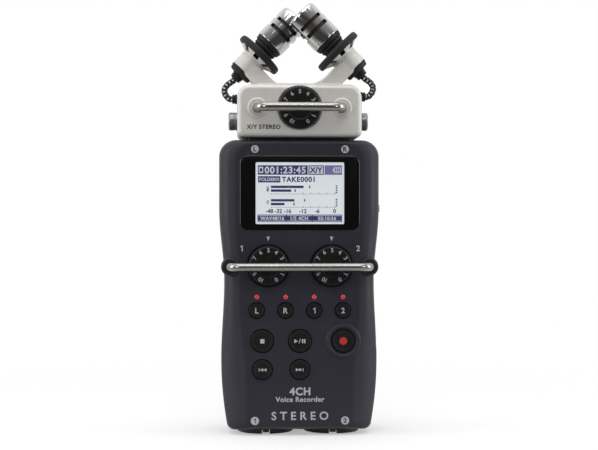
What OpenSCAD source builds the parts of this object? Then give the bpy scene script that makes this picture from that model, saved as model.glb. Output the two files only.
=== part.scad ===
// Handheld voice recorder with a plug-on stereo microphone capsule, in millimetres.
// It stands upright: +Z is up, the front faces -Y, and Z = 0 is the foot of its input jacks.

/* [Body] */
// Width across the shoulders
body_w = 66.8; // [64:0.2:82]
// Width across the hips
hip_w = 65.1; // [62:0.1:80]
// Width across the waist
waist_w = 62.6; // [60:0.1:78]
// Width at the foot
foot_w = 59.4; // [56:0.1:76]
// Height of the casing
body_h = 120.7; // [118:0.1:146]
// Depth of the casing
body_d = 34; // [33:0.1:42]
// Wall of the casings
wall = 2; // [1.6:0.1:2.4]
// Corner radius at the top
top_corner_r = 7; // [3:0.5:10]
// Corner radius at the foot
foot_corner_r = 2.5; // [1:0.5:5]
// Height of the widest part of the hips
hip_z = 31; // [26:1:36]
// Height of the narrowest part of the waist
waist_z = 64; // [56:1:70]
// Height where the full shoulder width is reached
shoulder_z = 94; // [86:1:100]
// Width of the rounded shoulder beside the flat front
shoulder_w = 7.5; // [5:0.5:8]
// Depth of the rounded shoulder
shoulder_d = 8; // [5:0.5:8]
// Width of the flat front at the foot
face_foot_w = 43; // [40:0.5:46]

/* [Display] */
// Width of the display window
window_w = 49.6; // [46:0.2:50]
// Height of the display window
window_h = 31.1; // [26:0.1:33]
// Corner radius of the display window
window_r = 3.5; // [1:0.5:5]
// Thickness of the display window
window_t = 1.4; // [1:0.1:1.6]
// Distance from the top of the casing to the window
window_drop = 6.75; // [5:0.25:9]
// Width of the visible display
lcd_w = 36.7; // [30:0.1:40]
// Height of the visible display
lcd_h = 25.6; // [20:0.1:27]

/* [Gain knobs] */
// Radius of each gain knob
gain_knob_r = 8.4; // [6:0.1:10.2]
// How far each gain knob stands out of the front
gain_knob_stand = 3.4; // [1.5:0.1:4]
// Distance between the two gain knobs
gain_pitch = 26.2; // [24:0.1:30]
// Height of the gain knobs
gain_z = 70.2; // [68:0.1:72]

/* [Buttons] */
// Radius of the track buttons
track_r = 3.1; // [2.4:0.1:3.8]
// Distance between the track buttons
track_pitch = 11.87; // [10.5:0.01:12.5]
// Height of the track buttons
track_z = 51.7; // [50:0.1:53]
// Height of the track lamps
lamp_z = 57.3; // [56.5:0.1:58]
// Radius of the track lamps
lamp_r = 1; // [0.6:0.1:1.2]
// Radius of the stop, play and record buttons
transport_r = 4.6; // [3.6:0.1:5.4]
// Height of the stop, play and record buttons
transport_z = 39.1; // [38:0.1:40]
// Radius of the rewind and forward buttons
skip_r = 4; // [3:0.1:4.8]
// Height of the rewind and forward buttons
skip_z = 27.3; // [27:0.1:28]
// Distance of the stop and rewind buttons from the middle
transport_pitch = 15.55; // [14:0.05:16.5]
// Distance of the record button from the middle
record_x = 17.9; // [16.5:0.1:18.2]
// Radius of the middle of the raised ring round the record button
record_ring_r = 6.3; // [5.6:0.1:7.2]
// How far a front button travels
button_travel = 0.8; // [0.4:0.1:0.9]
// How far the front buttons stand out
button_stand = 0.6; // [0.2:0.1:1]

/* [Guard bars] */
// Diameter of the front guard bar
guard_d = 3.5; // [2.5:0.1:4]
// How far the front guard bar reaches in front of the casing
guard_stand = 8.1; // [7:0.1:10]
// Distance between the guard bar's legs
guard_span = 57.5; // [54:0.1:58]
// Height of the front guard bar
guard_z = 69.8; // [68:0.1:72]
// Diameter of the capsule's guard bar
capsule_guard_d = 3.7; // [2.5:0.1:4]
// Distance between the legs of the capsule's guard bar
capsule_guard_span = 35; // [32:0.5:38]

/* [Input jacks] */
// Radius of the input jack flange
jack_flange_r = 11.65; // [11.4:0.05:12.4]
// How far the jacks stand below the casing
jack_stand = 1.8; // [1:0.1:3]
// Distance between the jacks
jack_pitch = 27.9; // [26:0.1:28]
// Radius of the well round the jack's insert
jack_well_r = 9.55; // [9.5:0.05:9.7]
// Radius of the jack's insert
jack_insert_r = 8; // [7.8:0.05:8.1]
// Radius of the quarter-inch socket
jack_bore_r = 3.25; // [3.2:0.05:3.3]
// Height of the jack's body
jack_h = 21.5; // [19:0.5:21.5]

/* [Side controls and sockets] */
// Radius of the scroll wheel
scroll_r = 5; // [4:0.1:5.6]
// Radius of the volume wheel
volume_r = 5.8; // [4:0.1:6.2]
// Radius of the headphone and line sockets
mini_bore_r = 1.8; // [1.75:0.05:1.85]
// Width of the memory card
card_w = 24; // [15:0.5:24]
// Thickness of the memory card
card_t = 2.1; // [1:0.1:2.1]
// How far the power switch moves each way
power_travel = 1.6; // [1:0.1:2]

/* [Power and mounting] */
// Radius of an AA cell
cell_r = 7.2; // [7:0.05:7.25]
// Length of an AA cell
cell_l = 50.3; // [49:0.1:50.5]
// Radius of the tripod thread
tripod_r = 3.175; // [3.1:0.025:3.2]

/* [Capsule] */
// Width of the capsule housing
capsule_w = 51.8; // [50:0.2:64]
// Height of the capsule housing
capsule_h = 22; // [21:0.5:28]
// Depth of the capsule housing
capsule_d = 31; // [30:0.5:36]
// Gap between the casing and the capsule
capsule_gap = 1; // [0.6:0.1:2]
// Radius of the level dial
dial_r = 9; // [7:0.1:9.2]
// How far the level dial stands out
dial_stand = 1.4; // [0.8:0.1:2]
// Width of the connector tongue
tongue_w = 42.5; // [36:0.5:42.5]
// Depth of the connector tongue
tongue_d = 16; // [12:0.5:16.5]
// How far the connector tongue reaches above the casing
tongue_h = 15.3; // [12:0.1:16]
// Radius of the release buttons
release_r = 3.8; // [3:0.1:4.2]
// How far the release buttons stand out
release_stand = 3.6; // [2:0.1:4]

/* [Microphones] */
// Radius of a microphone body
mic_r = 6.7; // [5:0.1:6.7]
// Length of a microphone body
mic_l = 16.4; // [12:0.2:20]
// Distance of each microphone's axis from the mid-plane, one in front and one behind
mic_offset = 6.95; // [6.9:0.05:8]
// Radius of a shock mount's disc
disc_r = 10.7; // [8:0.1:11]
// Radius of an arm's sleeve
sleeve_r = 5.7; // [5.3:0.1:6.2]
// Diameter of a microphone lead
lead_d = 2.6; // [1.6:0.1:2.8]

/* [Clearances] */
// Gap round a button
button_gap = 0.3; // [0.2:0.05:0.5]
// Gap round a part that is only fitted into place
seat_gap = 0.1; // [0.05:0.05:0.3]
// Gap round a part that slides or swings
slide_gap = 0.3; // [0.2:0.05:0.5]
// Radial gap of a shaft in its bore
shaft_gap = 0.06; // [0.02:0.01:0.1]

/* [Hidden] */
$fn = 64;
eps = 0.01;
far = 60;

charcoal = "#34333b";
black = "#17171b";
chrome = "#c9c9cc";
champagne = "#a9a79f";

// The casing's mid-depth, set so that the guard bar and the back lie equally far from Y = 0.
mid_y = guard_stand / 2;
front_y = mid_y - body_d / 2;
back_y = mid_y + body_d / 2;
inner_front_y = front_y + wall;
inner_back_y = back_y - wall;
body_z = jack_stand;
body_top = body_z + body_h;

// The flat front narrows between these two heights.
crease_low = 20;
crease_high = 56;
end_round = 1.8;
back_round = 5;
shoulder_rings = 6;
side_steps = 16;
corner_steps = 5;

window_z = body_top - window_drop - window_h / 2;
lcd_margin = 1.5;
panel_t = 2.6;
panel_rim = 3.2;

board_y = front_y + 9;
board_t = 1.6;
board_back_y = board_y + board_t;
board_low = jack_h + 2.5;
board_high = body_top - 4.5;
board_half = waist_w / 2 - wall - 1.5;
board_neck_half = 22;

well_depth = 1.2;
pot_size = 9.5;
pot_d = 4;
bush_r = 2.9;
stem_r = 1.5;
stem_end_y = front_y + 8;

flange_t = 0.8;
flange_lip = 0.8;
button_stem_r = 1.2;
button_stem = 1.2;
plunger_r = 1.6;
switch_size = 6;
skirt_y = inner_front_y + slide_gap;
button_end_y = skirt_y + flange_t + button_stem;
plunger_y = button_end_y + button_travel + 0.1;

boss_r = 4.4;
bar_y = front_y - guard_stand + guard_d / 2;
bar_bend = 4.5;
leg_end_y = board_y - 1.2;

scroll_z = body_top - 22.5;
scroll_t = 5;
scroll_y = mid_y + 6;
volume_z = 58;
volume_t = 2.6;
volume_y = mid_y + 6;
wheel_inset = 0.2;
axle_r = 0.9;
lug_t = 1.1;
menu_z = body_top - 10.5;
menu_r = 2.4;
side_y = mid_y - 4;
power_z = body_top - 28.5;
power_knob = 3;
power_slot = 6.8;
headphone_z = 43.5;
line_z = 31;
mini_y = board_back_y + 3.2;
mini_r = 3;
mini_depth = 14;
usb_z = 83;
usb_w = 7.7;
usb_t = 3.9;
usb_l = 9;
// How far the socket reaches in over the board, at least.
usb_seat = 4;
usb_y = board_back_y + usb_t / 2;
card_z = 49;
card_l = 32;
card_y = board_back_y + 1.7;
door_half = card_w / 2 + 1;
door_x = body_half(card_z + door_half) - 0.1;
door_t = 1.5;
door_low_y = card_y - 5;
hinge_y = mid_y + 2.4;
hinge_r = 0.9;
hinge_x = door_x - hinge_r;
door_pin_r = 0.5;
door_pin_l = 1.2;
bezel_t = 1.2;
card_end_x = door_x - door_t - 0.6;

cell_gap = 0.8;
cell_x = cell_r + cell_gap / 2;
cell_y = inner_back_y - cell_r - 0.1;
bay_half = 2 * cell_r + cell_gap + 0.2;
bay_wall = 1.3;
cell_z = 33;
bay_low = cell_z - 3.6;
bay_high = cell_z + cell_l + 1.6;
bay_front = cell_y - cell_r - 0.3;
cover_half = bay_half + 2.1;
cover_low = bay_low - 2;
cover_high = bay_high + 1.6;
cover_t = 1.9;
cover_pin_z = cover_low + cover_t / 2;
cover_pin_y = back_y - cover_t / 2;
cover_pin_r = 0.7;

tripod_z = 96;
insert_r = 4.5;
insert_d = 10;
tripod_depth = 8.5;
speaker_z = body_top - 12.5;
speaker_r = 7.3;
screw_x = waist_w / 2 - 4.3;
screw_low_z = jack_h + 3.1;
screw_high_z = body_top - 6;
screw_r = 1.1;
screw_head_r = 2.1;
screw_boss_r = 2.4;

capsule_z = body_top + capsule_gap;
capsule_top = capsule_z + capsule_h;
capsule_front_y = mid_y - capsule_d / 2;
capsule_wall = 2;
capsule_corner_r = 5.5;
capsule_foot_r = 2;
capsule_edge_r = 3;
sleeve_wall = 1.25;
dial_z = capsule_z + 12.2;
dial_recess = 1;
capsule_bar_z = capsule_z + 12.1;
capsule_bar_y = capsule_front_y - 7;
release_z = capsule_z + 7.4;
gland_z = capsule_z + 17.4;
gland_r = 2.1;
gland_stand = 2;

// Each microphone lies at 45 degrees, and 0 along its axis is the back of its sleeve, which is
// sleeve_x out from the middle and sleeve_up over the housing.
sleeve_x = 23.5;
sleeve_up = 7.4;
sleeve_l = 6.9;
flare_l = 1.7;
flare_r = 8.7;
disc_t = 3;
neck_l = 4.8;
disc_at = sleeve_l + flare_l;
neck_at = disc_at + disc_t;
mic_at = neck_at + neck_l;
hub_r = 4;
sleeve_bore_r = hub_r + 0.2;
boot_l = 4.9;
boot_r = 5.6;
boot_bore = 0.8;
gland_bore = 0.6;
lead_gap = 0.2;
mesh_r = 5.6;
slot_rear_at = 5.5;
slot_rear_l = 1.7;
slot_front_at = 9.5;
slot_front_l = 1.5;
arm_back = -0.8;
arm_t = 6.9;
arm_half = sleeve_r - 0.3;
arm_fillet = 8;

// The lead's route on the right, as its distance out from the middle and its height above the
// capsule's foot.
lead_route = [
    [26.4, 26.5], [27.9, 25], [29.9, 23.6], [31.2, 21.6], [30.9, 19.5], [29.3, 17.6], [27.3, 17.4]
];
lead_sides = 8;
lead_steps = 3;

function mix(a, b, t) = a + (b - a) * t;
function ease(t) = (1 - cos(180 * min(max(t, 0), 1))) / 2;

// Half the casing's width at height z.
function body_half(z) =
    z < hip_z ? mix(hip_w, foot_w, pow((hip_z - z) / (hip_z - body_z), 2)) / 2 :
    z < waist_z ? mix(hip_w, waist_w, ease((z - hip_z) / (waist_z - hip_z))) / 2 :
    mix(waist_w, body_w, ease((z - waist_z) / (shoulder_z - waist_z))) / 2;

// Half the width of the flat front at height z.
function face_half(z) =
    mix(face_foot_w / 2, body_half(z) - shoulder_w,
        ease((z - crease_low) / (crease_high - crease_low)));

// How far the outline is drawn in: u is 0 at full width and 1 at the flat front or back.
function inset_at(z, u, front) = u * (front ? body_half(z) - face_half(z) : back_round);

function side_point(z, cut, u, s, front) = [body_half(z) - inset_at(z, u, front) - s - cut, z];

// The right side of the outline from foot to top, drawn in by s all round.
function side_path(u, s, front) =
    let (
        low = body_z + s + u * end_round,
        high = body_top - s - u * end_round,
        r0 = max(foot_corner_r - s, 0.5),
        r1 = max(top_corner_r - s, 0.5)
    )
    concat(
        [for (i = [0 : corner_steps])
            let (a = 90 * i / corner_steps)
            side_point(low + r0 * (1 - cos(a)), r0 * (1 - sin(a)), u, s, front)],
        [for (i = [1 : side_steps - 1])
            side_point(mix(low + r0, high - r1, i / side_steps), 0, u, s, front)],
        [for (i = [corner_steps : -1 : 0])
            let (a = 90 * i / corner_steps)
            side_point(high - r1 * (1 - cos(a)), r1 * (1 - sin(a)), u, s, front)]
    );

function reversed(list) = [for (i = [len(list) - 1 : -1 : 0]) list[i]];

function outline(u, s, front) =
    let (p = side_path(u, s, front)) concat(p, [for (q = reversed(p)) [-q[0], q[1]]]);

function ring(y, u, front) = [for (q = outline(u, 0, front)) [q[0], y, q[1]]];

// A closed solid through rings of equally many points.
module loft(rings) {
    n = len(rings[0]);
    m = len(rings);
    polyhedron(
        points = [for (r = rings) each r],
        faces = concat(
            [reversed([for (j = [0 : n - 1]) j])],
            [for (i = [0 : m - 2]) for (j = [0 : n - 1])
                [i * n + j, i * n + (j + 1) % n, (i + 1) * n + (j + 1) % n, (i + 1) * n + j]],
            [[for (j = [0 : n - 1]) (m - 1) * n + j]]
        )
    );
}

// Both skins run past the parting plane and are cut there.
module front_skin() {
    difference() {
        loft(concat(
            [for (k = [0 : shoulder_rings])
                let (a = 90 * k / shoulder_rings)
                ring(front_y + shoulder_d * (1 - cos(a)), 1 - sin(a), true)],
            [ring(mid_y + 2, 0, true)]
        ));
        block([-far, mid_y, -far], [far, mid_y + far, body_top + far]);
    }
}

module rear_skin() {
    difference() {
        loft(concat(
            [ring(mid_y - 2, 0, false)],
            [for (k = [0 : shoulder_rings])
                let (a = 90 * k / shoulder_rings)
                ring(back_y - back_round * (1 - sin(a)), 1 - cos(a), false)]
        ));
        block([-far, mid_y - far, -far], [far, mid_y, body_top + far]);
    }
}

// A flat outline in X and Z, given its depth along Y.
module along_y(y0, y1) {
    translate([0, y1, 0]) rotate([90, 0, 0]) linear_extrude(y1 - y0) children();
}

module rod_y(r, y0, y1) {
    translate([0, y0, 0]) rotate([-90, 0, 0]) cylinder(r = r, h = y1 - y0);
}

module rod_x(r, x0, x1) {
    translate([x0, 0, 0]) rotate([0, 90, 0]) cylinder(r = r, h = x1 - x0);
}

module block(low, high) {
    translate(low) cube(high - low);
}

module rounded(w, h, r) {
    square([w - 2 * r, h], center = true);
    square([w, h - 2 * r], center = true);
    for (x = [-1, 1], z = [-1, 1]) translate([x * (w / 2 - r), z * (h / 2 - r)]) circle(r);
}

module side_of(side) {
    if (side > 0) children();
    else mirror([1, 0, 0]) children();
}

module at_screws() {
    for (x = [-1, 1], z = [screw_low_z, screw_high_z]) translate([x * screw_x, 0, z]) children();
}

function track_x(i) = (i - 1.5) * track_pitch;

// What both casings leave open for the sockets, wheels and buttons on their sides.
module side_cuts() {
    translate([0, mini_y, headphone_z]) rod_x(mini_r + seat_gap, -far, -waist_w / 2 + 6);
    translate([0, mini_y, line_z]) rod_x(mini_r + seat_gap, -far, -waist_w / 2 + 6);
    translate([0, side_y, menu_z]) rod_x(menu_r + button_gap, -far, -body_w / 2 + 6);
    wheel_slot(scroll_r, scroll_t, scroll_y, scroll_z);
    wheel_slot(volume_r, volume_t, volume_y, volume_z);
    block(
        [body_w / 2 - 6, side_y - 1.5 - slide_gap, power_z - power_slot / 2],
        [far, side_y + 1.5 + slide_gap, power_z + power_slot / 2]
    );
    block(
        [body_w / 2 - 8, usb_y - usb_t / 2 - seat_gap, usb_z - usb_w / 2 - seat_gap],
        [far, usb_y + usb_t / 2 + seat_gap, usb_z + usb_w / 2 + seat_gap]
    );
    block(
        [door_x - door_t - bezel_t - 2, door_low_y - slide_gap, card_z - door_half - slide_gap],
        [far, hinge_y + hinge_r + slide_gap, card_z + door_half + slide_gap]
    );
}

function wheel_x(r, z) = -(body_half(z) - wheel_inset - r);

module wheel_slot(r, t, y, z) {
    translate([wheel_x(r, z), y, z])
        block(
            [-far, -t / 2 - slide_gap, -r * 0.8 - slide_gap],
            [0, t / 2 + slide_gap, r * 0.8 + slide_gap]
        );
}

// Lugs that carry a wheel's two axle ends.
module wheel_lugs(r, t, y, z) {
    x = wheel_x(r, z);
    for (side = [-1, 1])
        translate([0, y + side * (t / 2 + slide_gap + lug_t / 2), z])
            block([-body_half(z) + 1, -lug_t / 2, -2], [x + 2, lug_t / 2, 2]);
}

module wheel_bores(r, t, y, z) {
    translate([wheel_x(r, z), 0, z])
        rod_y(axle_r + shaft_gap, y - t / 2 - lug_t - 1, y + t / 2 + lug_t + 1);
}

module side_wheel(r, t, y, z, ridges) {
    translate([wheel_x(r, z), y, z]) {
        difference() {
            rod_y(r, -t / 2, t / 2);
            for (i = [0 : ridges - 1])
                rotate([0, i * 360 / ridges, 0])
                    translate([r, 0, 0]) rod_y(0.35, -t, t);
        }
        rod_y(axle_r, -t / 2 - lug_t, t / 2 + lug_t);
    }
}

module neck_cut() {
    block(
        [-tongue_w / 2 - seat_gap, mid_y - tongue_d / 2 - seat_gap, body_top - wall - 1],
        [tongue_w / 2 + seat_gap, mid_y + tongue_d / 2 + seat_gap, body_top + 1]
    );
}

module jack_cuts() {
    for (x = [-1, 1])
        translate([x * jack_pitch / 2, mid_y, 0])
            cylinder(r = jack_flange_r + seat_gap, h = body_z + wall + 2);
}

// A button's hole in the front wall, and the room for its lip behind the wall.
module button_hole(r) {
    rod_y(r + button_gap, front_y - 1, front_y + 4);
    rod_y(r + flange_lip + button_gap, inner_front_y, front_y + 6.5);
}

module front_casing() color(charcoal) {
    difference() {
        union() {
            difference() {
                front_skin();
                along_y(inner_front_y, front_y + 6.5)
                    polygon(outline(1, wall, true));
                along_y(front_y + 6, mid_y + 1)
                    polygon(outline(0, wall, true));
            }
            for (x = [-1, 1]) {
                translate([x * guard_span / 2, 0, guard_z])
                    rod_y(boss_r, front_y - 0.6, front_y + 8);
            }
            translate([record_x, front_y + 0.4, transport_z]) rotate([90, 0, 0])
                rotate_extrude() translate([record_ring_r, 0]) circle(1.1);
            at_screws() rod_y(screw_boss_r, front_y + 4.5, mid_y + 1);
        }
        // The display window's pocket and the hole that shows the display.
        along_y(front_y - 1, front_y + well_depth)
            translate([0, window_z]) rounded(window_w + 2 * seat_gap, window_h + 2 * seat_gap,
                window_r + seat_gap);
        along_y(front_y, front_y + 4)
            translate([0, window_z]) square([lcd_w + 2 * lcd_margin, lcd_h + 2 * lcd_margin],
                center = true);
        for (x = [-1, 1]) {
            translate([x * gain_pitch / 2, 0, gain_z]) {
                rod_y(gain_knob_r + button_gap, front_y - 1, front_y + well_depth);
                rod_y(bush_r + seat_gap, front_y, front_y + 4);
            }
            translate([x * guard_span / 2, 0, guard_z])
                rod_y(guard_d / 2 + 0.02, front_y - 2, front_y + 9);
        }
        for (i = [0 : 3]) {
            translate([track_x(i), 0, track_z]) button_hole(track_r);
            translate([track_x(i), 0, lamp_z]) rod_y(lamp_r + 0.05, front_y - 1, front_y + 4);
        }
        for (x = [-transport_pitch, 0, record_x])
            translate([x, 0, transport_z]) button_hole(transport_r);
        for (x = [-transport_pitch, 0]) translate([x, 0, skip_z]) button_hole(skip_r);
        at_screws() rod_y(screw_r + 0.02, mid_y - 12, mid_y + 2);
        side_cuts();
        neck_cut();
        jack_cuts();
    }
}

module rear_casing() color(charcoal) {
    difference() {
        union() {
            difference() {
                rear_skin();
                along_y(mid_y - 1, inner_back_y) polygon(outline(0, back_round, false));
                along_y(mid_y - 1, back_y - back_round) polygon(outline(0, wall, false));
            }
            block(
                [-bay_half - bay_wall, bay_front - bay_wall, bay_low - bay_wall],
                [bay_half + bay_wall, inner_back_y, bay_high + bay_wall]
            );
            // The ledge that the battery cover closes against, which also carries the bay.
            block(
                [-cover_half - 2, inner_back_y - 1.2, cover_low - 2],
                [cover_half + 2, inner_back_y, cover_high + 2]
            );
            translate([0, 0, tripod_z]) rod_y(insert_r + 1.5, back_y - insert_d, back_y - 1);
            at_screws() rod_y(screw_boss_r, mid_y + 1, back_y - 1);
            wheel_lugs(scroll_r, scroll_t, scroll_y, scroll_z);
            wheel_lugs(volume_r, volume_t, volume_y, volume_z);
            for (z = [-1, 1])
                translate([hinge_x, hinge_y, card_z + z * (door_half + slide_gap + 0.8)])
                    block([-1.3, -1.3, -0.8], [0.7, 1.3, 0.8]);
        }
        block([-bay_half, bay_front, bay_low], [bay_half, back_y + 1, bay_high]);
        block(
            [-cover_half - slide_gap, inner_back_y, cover_low - slide_gap],
            [cover_half + slide_gap, back_y + 1, cover_high + slide_gap]
        );
        translate([0, cover_pin_y, cover_pin_z])
            rod_x(cover_pin_r + shaft_gap, -cover_half - 1.5, cover_half + 1.5);
        translate([0, 0, tripod_z]) rod_y(insert_r + 0.02, back_y - insert_d - 1, back_y + 1);
        for (i = [-2 : 2])
            translate([0, 0, speaker_z + i * 2.4])
                block([-5, inner_back_y - 1, -0.6], [5, back_y + 1, 0.6]);
        at_screws() {
            rod_y(screw_r + 0.15, mid_y, back_y);
            rod_y(screw_head_r + seat_gap, back_y - 4, back_y + 1);
        }
        wheel_bores(scroll_r, scroll_t, scroll_y, scroll_z);
        wheel_bores(volume_r, volume_t, volume_y, volume_z);
        translate([hinge_x, hinge_y, card_z - door_half - 2])
            cylinder(r = door_pin_r + shaft_gap, h = 2 * door_half + 4);
        side_cuts();
        neck_cut();
        jack_cuts();
    }
}

module display_window() color(black) {
    along_y(front_y + well_depth - window_t, front_y + well_depth)
        translate([0, window_z]) rounded(window_w, window_h, window_r);
}

module display_panel() color("#c8ccd6") {
    along_y(inner_front_y + seat_gap, inner_front_y + seat_gap + panel_t)
        translate([0, window_z])
            square([lcd_w + 2 * panel_rim, lcd_h + 2 * panel_rim], center = true);
}

module indicator_lenses() color("#cf5a5f") {
    for (i = [0 : 3])
        translate([track_x(i), 0, lamp_z]) rod_y(lamp_r, front_y - 0.2, board_y - 0.2);
}

module main_board() color("#1f5a3c") {
    difference() {
        along_y(board_y, board_back_y) {
            translate([-board_half, board_low + 5.5])
                square([2 * board_half, screw_high_z - board_low - 5.5 - screw_boss_r - 1]);
            translate([-board_neck_half, board_low])
                square([2 * board_neck_half, board_high - board_low]);
        }
    }
}

module tact_switch() {
    translate([-switch_size / 2, plunger_y + 0.5, -switch_size / 2])
        cube([switch_size, board_y - plunger_y - 0.5, switch_size]);
    rod_y(plunger_r, plunger_y, plunger_y + 1);
}

module switch_bodies() color("#8d8d90") {
    for (i = [0 : 3]) translate([track_x(i), 0, track_z]) tact_switch();
    for (x = [-transport_pitch, 0, record_x]) translate([x, 0, transport_z]) tact_switch();
    for (x = [-transport_pitch, 0]) translate([x, 0, skip_z]) tact_switch();
    // The menu button's switch and the power switch's body, on the board's rear face.
    block([-25.5, board_back_y, menu_z - 2], [-22, side_y + 2, menu_z + 2]);
    block([22, board_back_y, power_z - 4], [27, side_y + 2, power_z + 4]);
}

module gain_pots() color("#6f6f74") {
    for (x = [-1, 1])
        translate([x * gain_pitch / 2, 0, gain_z])
            difference() {
                union() {
                    translate([-pot_size / 2, board_y - pot_d, -pot_size / 2])
                        cube([pot_size, pot_d, pot_size]);
                    rod_y(bush_r, front_y + well_depth, board_y - pot_d + eps);
                }
                rod_y(stem_r + shaft_gap, front_y, stem_end_y + 0.3);
            }
}

// A numbered control dial with a shallow dished face and a fluted rim.
module dial(r, y0, y1, flutes) {
    difference() {
        union() {
            rod_y(r, y0 + 0.5, y1);
            translate([0, y0, 0]) rotate([-90, 0, 0]) cylinder(r1 = r - 0.5, r2 = r, h = 0.5);
        }
        for (i = [0 : flutes - 1])
            rotate([0, i * 360 / flutes, 0]) translate([r + 0.15, 0, 0]) rod_y(0.4, y0 - 1, y1 + 1);
        rod_y(r * 0.5, y0 - 1, y0 + 0.3);
    }
}

module gain_knob(x) color(black) {
    translate([x, 0, gain_z]) {
        dial(gain_knob_r, front_y - gain_knob_stand, front_y + well_depth - slide_gap, 36);
        rod_y(stem_r, front_y, stem_end_y);
    }
}

module gain_knob_1() {
    gain_knob(-gain_pitch / 2);
}

module gain_knob_2() {
    gain_knob(gain_pitch / 2);
}

// A round push button on the front: its cap, the lip that keeps it in, and its stem.
module front_button(x, z, r) color(black) {
    translate([x, 0, z]) {
        rod_y(r, front_y - button_stand, skirt_y + flange_t);
        rod_y(r + flange_lip, skirt_y, skirt_y + flange_t);
        rod_y(button_stem_r, skirt_y, button_end_y);
    }
}

module track_button_l() {
    front_button(track_x(0), track_z, track_r);
}

module track_button_r() {
    front_button(track_x(1), track_z, track_r);
}

module track_button_1() {
    front_button(track_x(2), track_z, track_r);
}

module track_button_2() {
    front_button(track_x(3), track_z, track_r);
}

module stop_button() {
    front_button(-transport_pitch, transport_z, transport_r);
}

module play_button() {
    front_button(0, transport_z, transport_r);
}

module record_button() {
    front_button(record_x, transport_z, transport_r);
}

module rewind_button() {
    front_button(-transport_pitch, skip_z, skip_r);
}

module forward_button() {
    front_button(0, skip_z, skip_r);
}

// A bar bent back at both ends into two legs.
module bent_bar(d, span, y, z, leg_y) {
    r = d / 2;
    reach = span / 2 - bar_bend;
    translate([0, y, z]) {
        rod_x(r, -reach, reach);
        for (side = [-1, 1])
            side_of(side) {
                translate([reach, bar_bend, 0]) rotate([0, 0, -90])
                    rotate_extrude(angle = 90) translate([bar_bend, 0]) circle(r);
                translate([span / 2, 0, 0]) rod_y(r, bar_bend, leg_y - y);
            }
    }
}

module guard_bar() color(chrome) {
    bent_bar(guard_d, guard_span, bar_y, guard_z, leg_end_y);
}

// An input jack that takes a three-pin plug in its well or a quarter-inch plug in its middle.
module combo_jack(x) color(black) {
    translate([x, mid_y, 0])
        difference() {
            union() {
                cylinder(r = jack_flange_r, h = body_z + wall);
                cylinder(r = jack_flange_r - 0.35, h = jack_h);
                translate([0, 3, jack_h - 1]) translate([-8, -6, 0]) cube([16, 12, 3.5]);
            }
            difference() {
                translate([0, 0, -1]) cylinder(r = jack_well_r, h = 15);
                translate([0, 0, 1.2]) cylinder(r = jack_insert_r, h = 15);
            }
            translate([0, 0, -1]) cylinder(r = jack_bore_r, h = 20);
            for (a = [90, 210, 330])
                rotate(a) translate([5.6, 0, -1]) cylinder(r = 1.25, h = 15);
            block([-1.6, -jack_flange_r - 1, -1], [1.6, -jack_well_r + 0.5, 9]);
        }
}

module combo_jack_1() {
    combo_jack(-jack_pitch / 2);
}

module combo_jack_2() {
    combo_jack(jack_pitch / 2);
}

module jack_contacts() color("#c8a24a") {
    for (x = [-1, 1], a = [90, 210, 330])
        translate([x * jack_pitch / 2, mid_y, 11]) rotate(a) translate([5.6, 0, 0])
            difference() {
                cylinder(r = 1.2, h = 2.9);
                translate([0, 0, -1]) cylinder(r = 0.8, h = 3);
            }
}

// The tab at the front of a jack that frees a locked plug.
module jack_latch(x) color("#9a9a9e") {
    translate([x, mid_y, 0])
        block([-1.3, -jack_flange_r + 0.1, 0.7], [1.3, -jack_well_r - 0.2, 7.4]);
}

module jack_latch_1() {
    jack_latch(-jack_pitch / 2);
}

module jack_latch_2() {
    jack_latch(jack_pitch / 2);
}

module aa_cells() color("#b9863b") {
    for (side = [-1, 1])
        translate([side * cell_x, cell_y, cell_z + (side > 0 ? cell_l : 0)])
            rotate([side > 0 ? 180 : 0, 0, 0]) {
                cylinder(r = cell_r, h = cell_l - 1);
                cylinder(r = 2.7, h = cell_l);
            }
}

module battery_contacts() color(chrome) {
    for (side = [-1, 1])
        translate([side * cell_x, cell_y, 0]) {
            block([-5.5, -5.5, bay_low], [5.5, 5.5, bay_low + 0.5]);
            block([-5.5, -5.5, bay_high - 0.5], [5.5, 5.5, bay_high]);
            // A cone for the coil at each cell's flat end, and a stud at its button end.
            translate([0, 0, bay_low + 0.5])
                cylinder(r1 = side < 0 ? 4.5 : 2.2, r2 = 2.2, h = cell_z - bay_low - 0.5);
            translate([0, 0, cell_z + cell_l])
                cylinder(r1 = 2.2, r2 = side > 0 ? 4.5 : 2.2, h = bay_high - 0.5 - cell_z - cell_l);
        }
}

module speaker() color("#2a2a2e") {
    translate([0, 0, speaker_z])
        difference() {
            union() {
                rod_y(speaker_r, inner_back_y - 2.2, inner_back_y - 0.1);
                rod_y(speaker_r - 2.6, inner_back_y - 4.4, inner_back_y - 2);
            }
            rod_y(speaker_r - 1.2, inner_back_y - 1, inner_back_y + 1);
        }
}

module tripod_insert() color("#b9a878") {
    translate([0, 0, tripod_z])
        difference() {
            rod_y(insert_r, back_y - insert_d, back_y);
            rod_y(tripod_r, back_y - tripod_depth, back_y + 1);
        }
}

module card_socket() color("#a5a7ab") {
    slot_half = card_w / 2 + seat_gap;
    x1 = door_x - door_t - slide_gap;
    difference() {
        union() {
            block([card_end_x - card_l - 2.2, board_back_y, card_z - slot_half - 0.8],
                [x1 - 0.2, card_y + card_t / 2 + 0.9, card_z + slot_half + 0.8]);
            block([x1 - bezel_t, door_low_y, card_z - door_half],
                [x1, hinge_y - hinge_r - slide_gap, card_z + door_half]);
        }
        block([card_end_x - card_l - 1.2, card_y - card_t / 2 - seat_gap, card_z - slot_half],
            [far, card_y + card_t / 2 + seat_gap, card_z + slot_half]);
    }
}

module memory_card() color("#27437e") {
    block([card_end_x - card_l, card_y - card_t / 2, card_z - card_w / 2],
        [card_end_x, card_y + card_t / 2, card_z + card_w / 2]);
}

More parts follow.
